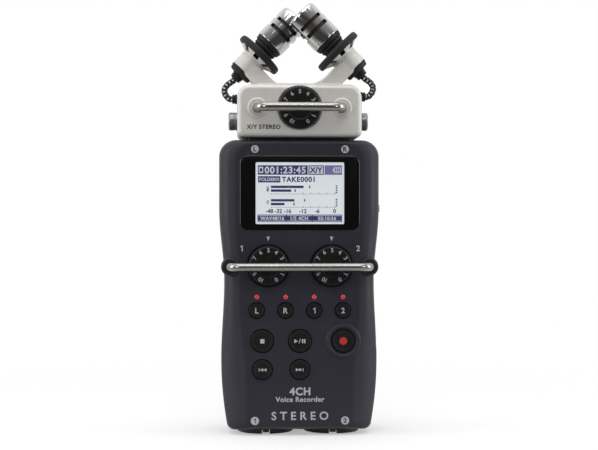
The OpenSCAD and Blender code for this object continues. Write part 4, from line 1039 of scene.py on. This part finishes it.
def makeWindow():
    low, high = nodeBox("display_window")
    middle = (low + high) / 2
    stand = frontY - low.y
    glass = pad(high.x - low.x, high.z - low.z, window["radius"], stand - 1.4, stand, 0.3, backEdge=0.05)
    view = pad(screen["width"], screen["height"], screen["corner"], stand - 2, stand + 0.5, 0)
    glass = combined(glass, [view])
    finishPiece("displayWindow", placed(glass, onFront(0, middle.z)), "recorder", "window_glass",
                ["display_window"], sharp=30)
    back = nodeBox("display_panel")[1].y
    play = screen["play"]
    panel = pad(screen["width"] - play, screen["height"] - play, screen["corner"] - play / 2,
                frontY - back, stand - screen["behind"], 0.0)
    finishPiece("displayPanel", placed(panel, onFront(0, middle.z)), "recorder", "display",
                ["display_panel"], sharp=30)
    place = onFront(0, middle.z) @ Matrix.Translation((0, 0, stand - screen["behind"]))
    showReadings(place)
    print("display")


def bar(left, right, top, bottom, lift=0.0):
    return placed(sign(boxed(right - left, top - bottom), 0.02),
                  Matrix.Translation(((left + right) / 2, (top + bottom) / 2, lift)))


def words(text, x, y, height, heavy=0.1, lift=0.0, align=0, spacing=1.0):
    bm = lettering(text, height, 0.02, heavy, spacing)
    half = max(v.co.x for v in bm.verts)
    return placed(bm, Matrix.Translation((x + align * half, y, lift)))


def showReadings(place):
    ink, pale, mauve = [], [], []
    ink.append(bar(-17.4, 3.2, 11.5, 7.6))
    pale.append(bar(-17.0, -15.2, 10.9, 8.3, 0.02))
    ink.append(bar(-16.6, -15.6, 10.3, 8.9, 0.04))
    pale.append(words("001:23:45", -6.1, 9.55, 2.95, 0.3, 0.02, spacing=1.12))
    ink.append(bar(3.5, 9.9, 11.5, 7.6))
    pale.append(bar(3.9, 9.5, 11.1, 8.0, 0.02))
    ink.append(words("X/Y", 6.7, 9.55, 2.4, 0.35, 0.04))
    mauve.append(bar(10.2, 17.4, 11.5, 7.6))
    pale.append(bar(14.0, 17.0, 10.7, 8.5, 0.02))
    pale.append(bar(13.6, 14.0, 10.1, 9.1, 0.02))
    for i in range(3):
        mauve.append(bar(14.4 + 0.85 * i, 14.95 + 0.85 * i, 10.3, 8.9, 0.04))
    ink.append(bar(-17.3, -8.1, 7.0, 4.4))
    pale.append(words("FOLDER01", -12.7, 5.7, 1.4, 0.25, 0.02))
    ink.append(words("TAKE0001", -7.5, 5.7, 2.25, 0.38, 0.0, 1, 1.12))
    meters = (("MIC", 1.85, (1.5, -3.6), (4.05, -2.0)), ("1/2", -3.7, (-2.3, -6.4), (1.95, -2.45)))
    for label, y, levels, peaks in meters:
        ink.append(placed(words(label, 0, 0, 1.0, 0.3), Matrix.Translation((-13.3, y, 0))
                          @ Matrix.Rotation(math.pi / 2, 4, "Z")))
        for row, (level, peak) in enumerate(zip(levels, peaks)):
            top = y + 1.25 - row * 1.55
            ink.append(bar(-12, level, top, top - 1.0))
            ink.append(bar(peak - 0.25, peak + 0.25, top + 0.05, top - 1.05))
        for i in range(27):
            ink.append(bar(-12 + i, -11.45 + i, y - 2.1, y - 2.28))
        for x in (1.25, 4.5, 7.7, 11, 14.5):
            ink.append(bar(x - 0.14, x + 0.14, y - 1.7, y - 2.1))
        for i in range(4):
            ink.append(bar(14.8, 15.5, y + 1.4 - i * 0.9, y + 0.9 - i * 0.9))
    for value, x in (("-48", -12.6), ("-32", -8.9), ("-16", -5.1), ("-12", 1.2), ("-6", 7.2), ("0", 14.3)):
        ink.append(words(value, x, -7.4, 1.75, 0.28))
    ink.append(bar(-17.5, 17.4, -8.85, -11.9))
    for left, right, text in ((-17.2, -5.8, "WAV48/16"), (-5.4, 4.9, "1/2 4CH"), (5.3, 17.1, "02:10:36")):
        pale.append(bar(left, right, -9.15, -9.4, 0.02))
        pale.append(bar(left, right, -11.4, -11.65, 0.02))
        pale.append(words(text, (left + right) / 2, -10.4, 1.55, 0.35, 0.02, spacing=1.1))
    for name, parts, finish in (("readingInk", ink, "displayInk"), ("readingPale", pale, "displayPale"),
                                ("readingMauve", mauve, "displayMauve")):
        finishPiece(name, placed(joined(parts), place), "recorder", "display", sharp=30, material=finish)


capsule = {"edge": 2.0, "topCorner": 5.5, "footCorner": 2.4, "wall": 2,
           "barRadius": 1.85, "glandZ": 140.9, "releaseStand": 3.6}


def capsuleOutline(grow):
    height = capsuleHigh.z - capsuleLow.z
    return roundRect(capsuleHigh.x * 2, height, capsule["topCorner"], capsule["footCorner"], grow, 12)


def makeCapsule():
    middleZ = (capsuleHigh.z + capsuleLow.z) / 2
    depth = 2 * (midY - capsuleFrontY)
    levels = [(g, h) for g, h in reversed(roundedEnd(capsule["edge"], -depth, 8, -1))]
    levels += roundedEnd(capsule["edge"], 0, 8)
    shell = placed(prism(capsuleOutline, levels), onFront(0, middleZ, capsuleFrontY))
    wall = capsule["wall"]
    inner = placed(prism(capsuleOutline, [(-wall, -depth + wall), (-wall, -wall)]),
                   onFront(0, middleZ, capsuleFrontY))
    low, high = nodeBox("capsule_sleeve")
    dial = nodeMiddle("level_dial")
    barX = nodeBox("capsule_guard_bar")[1].x - capsule["barRadius"]
    barZ = nodeMiddle("capsule_guard_bar").z
    button = nodeMiddle("release_button_right")
    cuts = [inner, brick((low.x - 0.02, low.y - 0.02, low.z - 1), (high.x + 0.02, high.y + 0.02, low.z + 3)),
            placed(flaredHole(9.3, 1, 0.3, steps=96), onFront(dial.x, dial.z, capsuleFrontY)),
            placed(flaredHole(1.6, 4, 0.1), onFront(dial.x, dial.z, capsuleFrontY + 0.9))]
    for side in (-1, 1):
        cuts.append(rod(3.0, (side * barX, capsuleFrontY - 2, barZ), (side * barX, capsuleFrontY + 4, barZ)))
        cuts.append(placed(flaredHole(4.1, 4, 0.25, 3),
                           onSide(side, side * capsuleHigh.x, button.y, button.z)))
        y = nodeMiddle("mic_body_right" if side > 0 else "mic_body_left").y
        cuts.append(placed(flaredHole(1.7, 4, 0.2, 3), onSide(side, side * capsuleHigh.x, y,
                                                               capsule["glandZ"])))
    shell = combined(shell, cuts)
    finishPiece("capsuleShell", shell, "capsule", "capsule_metal", ["capsule_shell"], sharp=32,
                weighted=True)
    rings = []
    for side in (-1, 1):
        ring = turned([(1.9, -2), (1.9, 0.25, 0.2), (2.55, 0.5, 0.2), (2.8, 0.2, 0.1), (3.05, 0.5, 0.15),
                       (4.1, 0.42, 0.4), (4.25, -0.05), (3.0, -2)], 72, True)
        rings.append(placed(ring, onFront(side * barX, barZ, capsuleFrontY)))
    finishPiece("capsuleBosses", joined(rings), "capsule", "capsule_metal", sharp=40)
    for side, name in ((-1, "release_button_left"), (1, "release_button_right")):
        low, high = nodeBox(name)
        tip = abs(low.x if side < 0 else high.x)
        end = capsule["releaseStand"]
        profile = [(0, -3), (4.7, -3), (4.7, -2.3), (3.8, -2.3), (3.8, end - 2.9, 0.1),
                   (3.55, end - 2.85, 0.05), (3.55, end - 2.6, 0.05), (3.8, end - 2.55, 0.1),
                   (3.8, end, 0.7), (2.9, end, 0.2),
                   (2.7, end - 0.12, 0.15), (0, end - 0.12)]
        button = placed(turned(profile, 72), onSide(side, side * (tip - end), midY, (low.z + high.z) / 2))
        finishPiece("releaseButton" + ("Left" if side < 0 else "Right"), button, name, "chrome", [name],
                    sharp=50, material="brushedSteel")
    print("capsule")


microphone = {
    "out": 23.5, "up": 7.4, "sleeveRadius": 5.7, "sleeveLength": 6.9, "bore": 4.2,
    "flareRadius": 8.7, "flareLength": 1.7, "discRadius": 10.69, "discThick": 3.0, "neck": 4.8,
    "bodyRadius": 6.7, "bodyLength": 16.4, "armHalf": 5.4, "armBack": -0.8, "armThick": 6.9, "armFillet": 14,
}


def micPlace(side):
    y = nodeMiddle("mic_body_right" if side > 0 else "mic_body_left").y
    spot = Matrix.Translation((side * microphone["out"], y, capsuleHigh.z + microphone["up"]))
    return spot @ Matrix.Rotation(math.radians(-45 * side), 4, "Y")


def armOutline():
    m = microphone
    total = m["out"] + m["up"]
    low = m["up"] - m["out"] + m["armBack"] * math.sqrt(2)
    high = low + m["armThick"] * math.sqrt(2)
    filletX = -high - m["armFillet"] * (math.sqrt(2) - 1)
    points = [(-low, -1.6), (-low, 0), ((total - low) / 2, (total + low) / 2),
              ((total - high) / 2, (total + high) / 2)]
    for i in range(13):
        a = math.radians(-45 - 45 * i / 12)
        points.append((filletX + m["armFillet"] * math.cos(a), m["armFillet"] * (1 + math.sin(a))))
    return points + [(filletX - 2, 0), (filletX - 2, -1.6)]


def makeYoke():
    m = microphone
    top = capsuleHigh.z
    baseX = armOutline()[0][0]
    frontMic, rearMic = nodeMiddle("mic_body_right").y, nodeMiddle("mic_body_left").y
    yoke = brick((-baseX, frontMic - m["armHalf"] - 0.3, top - 0.2),
                 (baseX, rearMic + m["armHalf"] + 0.3, top + 0.6), 0.25)
    adds, cuts = [], []
    for side, y in ((1, frontMic), (-1, rearMic)):
        outlinePoints = [(side * x, z + top) for x, z in armOutline()]
        arm = lofted([[(x, depth, z) for x, z in outlinePoints]
                      for depth in (y - m["armHalf"], y + m["armHalf"])])
        rims = [e for e in arm.edges if abs(e.verts[0].co.y - e.verts[1].co.y) < 0.01]
        bmesh.ops.bevel(arm, geom=rims, offset=0.7, segments=4, profile=0.5, affect="EDGES", material=-1)
        adds.append(arm)
        place = micPlace(side)
        s, f = m["sleeveLength"], m["flareRadius"]
        mouth = s + m["flareLength"]
        sleeve = turned([(0, 0), (m["sleeveRadius"], 0, 0.35), (m["sleeveRadius"], s, 0.5),
                         (f, mouth - 0.2), (f, mouth), (0, mouth)], 72)
        adds.append(placed(sleeve, place))
        bore = turned([(0, -4), (m["bore"], -4), (m["bore"], s), (f - 0.8, mouth + 0.2),
                       (0, mouth + 0.3)], 64)
        cuts.append(placed(bore, place))
        for i in range(8):
            turn = Matrix.Rotation(math.radians(45 * i), 4, "Z")
            cuts.append(placed(brick((5.4, -1.3, s + 0.3), (15, 1.3, 15)), place @ turn))
    yoke = combined(combined(yoke, adds, "UNION"), cuts)
    finishPiece("micYoke", yoke, "capsule", "capsule_metal", ["mic_yoke"], sharp=32, weighted=True)
    print("yoke")


def makeMicrophone(side, word):
    m = microphone
    place = micPlace(side)
    disc = m["sleeveLength"] + m["flareLength"]
    neck = disc + m["discThick"]
    head = neck + m["neck"]
    mount = turned([(0, 2.2), (4, 2.2), (4, disc), (m["discRadius"], disc, 0.8),
                    (m["discRadius"], neck, 1.1),
                    (5.6, neck - 0.25, 0.4), (4.9, neck + 0.3, 0.3), (5.0, neck + 1.2, 0.3),
                    (5.5, neck + 1.5, 0.2), (5.4, neck + 2.6, 0.2), (6.0, neck + 3.0, 0.2),
                    (6.4, head - 0.01, 0.2), (0, head - 0.01)], 96)
    finishPiece("shockMount" + word, placed(mount, place), "capsule", "rubber",
                ["shock_mount_" + word.lower()], sharp=40)
    r, end = m["bodyRadius"], m["bodyLength"]
    bore = r - 0.95
    body = turned([(4.6, 0), (r, 0, 0.4), (r, 3.6), (r, end, 1.4), (4.4, end, 0.3), (4.4, end - 1.2),
                   (bore, end - 1.2), (bore, 1.2), (4.6, 1.2)], 96, True)
    slots = []
    for low, high in ((5.5, 7.2), (9.5, 11.0)):
        for i in range(3):
            slot = bmesh.new()
            inner, outer = r - 1.6, r + 1
            corners = ((inner, 0, low), (outer, 0, low), (outer, 0, high), (inner, 0, high))
            slot.faces.new([slot.verts.new(corner) for corner in corners])
            bmesh.ops.rotate(slot, verts=slot.verts, cent=(0, 0, 0),
                             matrix=Matrix.Rotation(math.radians(97 + 120 * i), 3, "Z"))
            bmesh.ops.spin(slot, geom=slot.faces[:], cent=(0, 0, 0), axis=(0, 0, 1),
                           angle=math.radians(106), steps=28)
            bmesh.ops.holes_fill(slot, edges=slot.edges, sides=0)
            bmesh.ops.recalc_face_normals(slot, faces=slot.faces)
            slots.append(slot)
    body = combined(body, slots)
    at = Matrix.Translation((0, 0, head))
    finishPiece("micBody" + word, placed(body, place @ at), "capsule", "chrome",
                ["mic_body_" + word.lower()], sharp=32)
    boot = [(0, 2), (4.1, 2), (4.1, 0), (5.6, -0.02, 0.3), (5.5, -0.8, 0.2), (5.1, -1.0, 0.1),
            (5.25, -1.2, 0.2), (5.1, -1.8, 0.2), (4.7, -2.3, 0.3), (2.6, -2.4, 0.3)]
    for i in range(3):
        z = -2.7 - 0.75 * i
        boot += [(2.75 - 0.12 * i, z, 0.12), (2.75 - 0.12 * i, z - 0.4, 0.12),
                 (2.3 - 0.1 * i, z - 0.48, 0.05), (2.3 - 0.1 * i, z - 0.68, 0.05)]
    boot += [(1.95, -4.9), (1.5, -4.9), (1.5, -4.1), (0, -4.1)]
    finishPiece("micBoot" + word, placed(turned(boot, 72), place), "capsule", "rubber",
                ["mic_boot_" + word.lower()], sharp=40)


leadRoute = [(26.4, 26.5), (27.9, 25), (29.9, 23.6), (31.2, 21.6), (30.9, 19.5), (29.3, 17.6),
             (27.3, 17.4)]


def smoothRoute(points, steps):
    # a smooth curve through the points
    route = []
    for i in range(len(points) - 1):
        p = [Vector(points[min(max(k, 0), len(points) - 1)]) for k in (i - 1, i, i + 1, i + 2)]
        for k in range(steps + (i == len(points) - 2)):
            t = k / steps
            route.append(0.5 * (2 * p[1] + (p[2] - p[0]) * t
                                + (2 * p[0] - 5 * p[1] + 4 * p[2] - p[3]) * t ** 2
                                + (3 * p[1] - p[0] - 3 * p[2] + p[3]) * t ** 3))
    return route


def makeLeads():
    glands = []
    for side, word in ((1, "Right"), (-1, "Left")):
        y = nodeMiddle("mic_body_" + word.lower()).y
        points = [(side * p.x, y, p.y + capsuleLow.z) for p in smoothRoute(leadRoute, 8)]
        finishPiece("micLead" + word, tube(points, 1.3, 10), "capsule", "rubber",
                    ["mic_lead_" + word.lower()], sharp=60, material="braid")
        gland = turned([(0, -2.5), (1.6, -2.5), (1.6, 0), (2.1, 0, 0.2), (2.1, 0.8, 0.15),
                        (1.75, 0.95, 0.05), (1.75, 1.2, 0.05), (2.0, 1.35, 0.15), (1.95, 2, 0.2),
                        (1.5, 2), (1.5, 1.4), (0, 1.4)], 48)
        glands.append(placed(gland, onSide(side, side * capsuleHigh.x, y, nodeMiddle("lead_glands").z)))
    finishPiece("leadGlands", joined(glands), "capsule", "rubber", ["lead_glands"], sharp=40)
    print("leads")


jack = {"flange": 11.65, "well": 9.55, "insert": 8.0, "bore": 3.25}


def makeJacks():
    for node, name in (("combo_jack_1", "inputJackOne"), ("combo_jack_2", "inputJackTwo")):
        x = nodeMiddle(node).x
        body = turned([(0, 19), (jack["bore"], 19), (jack["bore"], 1.2, 0.4), (jack["insert"], 1.2, 0.5),
                       (jack["insert"], 14), (jack["well"], 14), (jack["well"], 0, 0.25),
                       (jack["flange"], 0, 0.6),
                       (jack["flange"], 3.8), (11.3, 3.8), (11.3, 21.5), (0, 21.5)], 96)
        cuts = []
        for angle in (90, 210, 330):
            a = math.radians(angle)
            spot = (5.6 * math.cos(a), 5.6 * math.sin(a))
            cuts.append(rod(1.25, (*spot, -1), (*spot, 14), 32))
        cuts.append(brick((-1.6, -jack["flange"] - 1, -1), (1.6, -jack["well"] + 0.5, 9)))
        body = combined(body, cuts)
        finishPiece(name, placed(body, Matrix.Translation((x, midY, 0))), "recorder", "black_plastic",
                    [node], sharp=40)
    print("input jacks")


def makeSockets():
    for node, name in (("headphone_jack", "headphoneJack"), ("line_jack", "lineJack")):
        low, high = nodeBox(node)
        y, z = (low.y + high.y) / 2 + 0.05, (low.z + high.z) / 2
        length = high.x - low.x
        body = turned([(0, -12), (1.8, -12), (1.8, -0.05, 0.3), (2.3, -0.05, 0.1), (2.45, -0.3, 0.1),
                       (2.6, -0.05, 0.15), (3.0, -0.05, 0.15), (3.0, -length), (0, -length)], 56)
        finishPiece(name, placed(body, onSide(-1, low.x, y, z)), "recorder", "black_plastic", [node],
                    sharp=40)
    print("sockets")


def makeSideControls():
    low, high = nodeBox("power_switch")
    middle = (low + high) / 2
    knob = pad(3.0, 3.0, 0.4, -3.6, 0, 0.3)
    ribs = [placed(brick((-2, -0.18, -0.3), (2, 0.18, 1), 0.05),
                   Matrix.Translation((0, (i - 1.5) * 0.66, 0))) for i in range(4)]
    knob = combined(knob, ribs)
    guide = brick((-2.6, -3.5, -4.4), (2.6, 3.5, -3.2), 0.15)
    knob = placed(joined([knob, guide]), onSide(1, high.x, middle.y, middle.z))
    finishPiece("powerSwitch", knob, "power_switch", "control_plastic", ["power_switch"], sharp=35)
    low, high = nodeBox("menu_button")
    middle = (low + high) / 2
    cap = turned([(0, -6.9), (1, -6.9), (1, -3.1), (3.2, -3.1, 0.1), (3.2, -2.2, 0.1), (2.4, -2.2),
                  (2.4, 0, 0.35),
                  (1.5, -0.05, 0.2), (0, -0.2)], 56)
    finishPiece("menuButton", placed(cap, onSide(-1, low.x, middle.y, middle.z)), "menu_button",
                "control_plastic", ["menu_button"], sharp=45)
    for node, name, half, ridges, slotName in (("scroll_wheel", "scrollWheel", 2.5, 28, "control_plastic"),
                                               ("volume_wheel", "volumeWheel", 1.3, 32, "wheel_plastic")):
        low, high = nodeBox(node)
        middle = (low + high) / 2
        radius = (high.z - low.z) / 2
        axle = (high.y - low.y) / 2
        wheel = turned([(0, -axle), (0.9, -axle), (0.9, -half), (radius, -half, 0.3), (radius, half, 0.3),
                        (0.9, half), (0.9, axle), (0, axle)], ridges * 6)
        for vert in wheel.verts:
            reach = math.hypot(vert.co.x, vert.co.y)
            if reach > radius * 0.9:
                notch = 0.5 + 0.5 * math.cos(math.atan2(vert.co.y, vert.co.x) * ridges)
                vert.co.x *= 1 - 0.3 * notch / reach
                vert.co.y *= 1 - 0.3 * notch / reach
        turn = Matrix.Translation(middle) @ Matrix.Rotation(math.pi / 2, 4, "X")
        finishPiece(name, placed(wheel, turn), node, slotName, [node], sharp=50)
    print("side controls")


def makeCardDoor():
    low, high = nodeBox("card_door")
    z0, z1 = low.z + 1.2, high.z - 1.2
    hinge = (high.x - 0.9, high.y - 0.9)
    door = brick((high.x - 1.5, low.y, z0), (high.x, hinge[1], z1), 0.3)
    pin = joined([rod(0.9, (*hinge, z0), (*hinge, z1)), rod(0.5, (*hinge, low.z), (*hinge, high.z), 32)])
    notch = [rod(0.9, (high.x + 0.3, low.y, (z0 + z1) / 2 - 4), (high.x + 0.3, low.y, (z0 + z1) / 2 + 4))]
    door = combined(door, notch)
    finishPiece("cardDoor", joined([door, pin]), "card_door", "black_plastic", ["card_door"], sharp=35)
    print("card door")


def makeBatteryCover():
    low, high = nodeBox("battery_cover")
    half = high.x - 1.3
    hinge = low.z + 0.95
    plate = placed(pad(2 * half, high.z - hinge, 0.8, -1.9, 0, 0.3), onBack(0, (high.z + hinge) / 2))
    grooves = [placed(pad(14, 0.9, 0.42, -0.4, 1, 0.1), onBack(0, high.z - 5 - 2 * i)) for i in range(4)]
    plate = combined(plate, grooves)
    y = backY - 0.95
    pins = [rod(0.95, (-half, y, hinge), (half, y, hinge)),
            rod(0.7, (-half - 1.3, y, hinge), (half + 1.3, y, hinge), 32)]
    finishPiece("batteryCover", joined([plate] + pins), "battery_cover", "casing_plastic",
                ["battery_cover"], sharp=35)
    arrow = sign([(-1.1, 1.0), (0, -1.0), (1.1, 1.0)])
    finishPiece("coverArrow", placed(arrow, onBack(0, high.z - 14.5)), "battery_cover", "casing_plastic",
                sharp=30, material="print")
    print("battery cover")


cell = {"radius": 7.2, "jacketEnd": 36}


def makeCells():
    low, high = nodeBox("aa_cells")
    radius, length, end = cell["radius"], high.z - low.z, cell["jacketEnd"]
    x = high.x - radius
    y = (low.y + high.y) / 2
    jackets, bands = [], []
    for side in (-1, 1):
        flip = Matrix.Rotation(math.pi, 4, "X") if side > 0 else Matrix()
        middle = Matrix.Translation((side * x, y, (low.z + high.z) / 2))
        place = middle @ flip @ Matrix.Translation((0, 0, -length / 2))
        jacket = turned([(5.4, 0.3), (radius - 0.1, 0.3, 0.3), (radius, 1.2), (radius, end), (5.4, end)],
                        64, True)
        jackets.append(placed(jacket, place))
        band = turned([(0, 0), (5.6, 0), (5.7, 0.4), (5.7, end), (radius, end), (radius, length - 2, 0.5),
                       (5.6, length - 1.6, 0.3), (2.75, length - 1.4), (2.7, length, 0.5), (0, length)], 64)
        bands.append(placed(band, place))
    finishPiece("cellJackets", joined(jackets), "recorder", "cell_jacket", ["aa_cells"], sharp=40)
    finishPiece("cellEnds", joined(bands), "recorder", "cell_jacket", sharp=40, material="cellBand")
    print("cells")


def makeTongue():
    low, high = nodeBox("connector_tongue")
    block = brick((low.x + 1.5, low.y + 1.5, casingHigh.z - 2.1),
                  (high.x - 1.5, high.y - 1.5, high.z), 0.4)
    mouth = brick((-14, midY - 3, high.z - 6), (14, midY + 3, high.z + 1), 0.3)
    block = combined(block, [mouth])
    flange = brick((low.x, low.y, low.z), (high.x, high.y, low.z + 1.5), 0.2)
    blade = brick((-12.5, midY - 1.2, high.z - 7), (12.5, midY + 1.2, high.z - 1), 0.15)
    finishPiece("connectorTongue", joined([block, flange, blade]), "recorder", "black_plastic",
                ["connector_tongue"], sharp=35)
    contacts = [brick((-11.4 + i * 1.2, midY - 1.3, high.z - 6),
                      (-10.8 + i * 1.2, midY + 1.3, high.z - 1.3), 0.05) for i in range(20)]
    finishPiece("tongueContacts", joined(contacts), "recorder", "brass", sharp=35)
    print("connector tongue")


def makeTripodInsert():
    low, high = nodeBox("tripod_insert")
    z = (low.z + high.z) / 2
    profile = [(0, -8.5), (3.0, -8.5)]
    for i in range(6):
        at = -8.0 + i * 1.27
        profile += [(3.35, at), (3.05, at + 0.63)]
    profile += [(3.2, -0.5), (3.6, 0), (4.5, 0, 0.15), (4.5, -10), (0, -10)]
    finishPiece("tripodInsert", placed(turned(profile, 64), onBack(0, z)), "recorder", "brass",
                ["tripod_insert"], sharp=40)
    print("tripod insert")


keptNodes = {"jack_latch_1": "black_plastic", "jack_latch_2": "black_plastic"}


def dressCadNodes():
    for name, node in cadNodes.items():
        for spot in node.material_slots:
            look = spot.material.name.split(".")[0] if spot.material else ""
            look = keptNodes.get(name, look)
            if look in finishes:
                spot.material = finishes[look]


for lookName, look in looks.items():
    makeFinish(lookName, look)
addBraid()
setCamera()
setStudio()
setLights()
layFloor()
makeFrontCasing()
makeRearCasing()
makeFrontRings()
makeGuardBars()
makeDials()
makeFrontButtons()
makeLamps()
makePrints()
makeWindow()
makeCapsule()
makeYoke()
makeMicrophone(1, "Right")
makeMicrophone(-1, "Left")
makeLeads()
makeJacks()
makeSockets()
makeSideControls()
makeCardDoor()
makeBatteryCover()
makeCells()
makeTongue()
makeTripodInsert()
dressCadNodes()
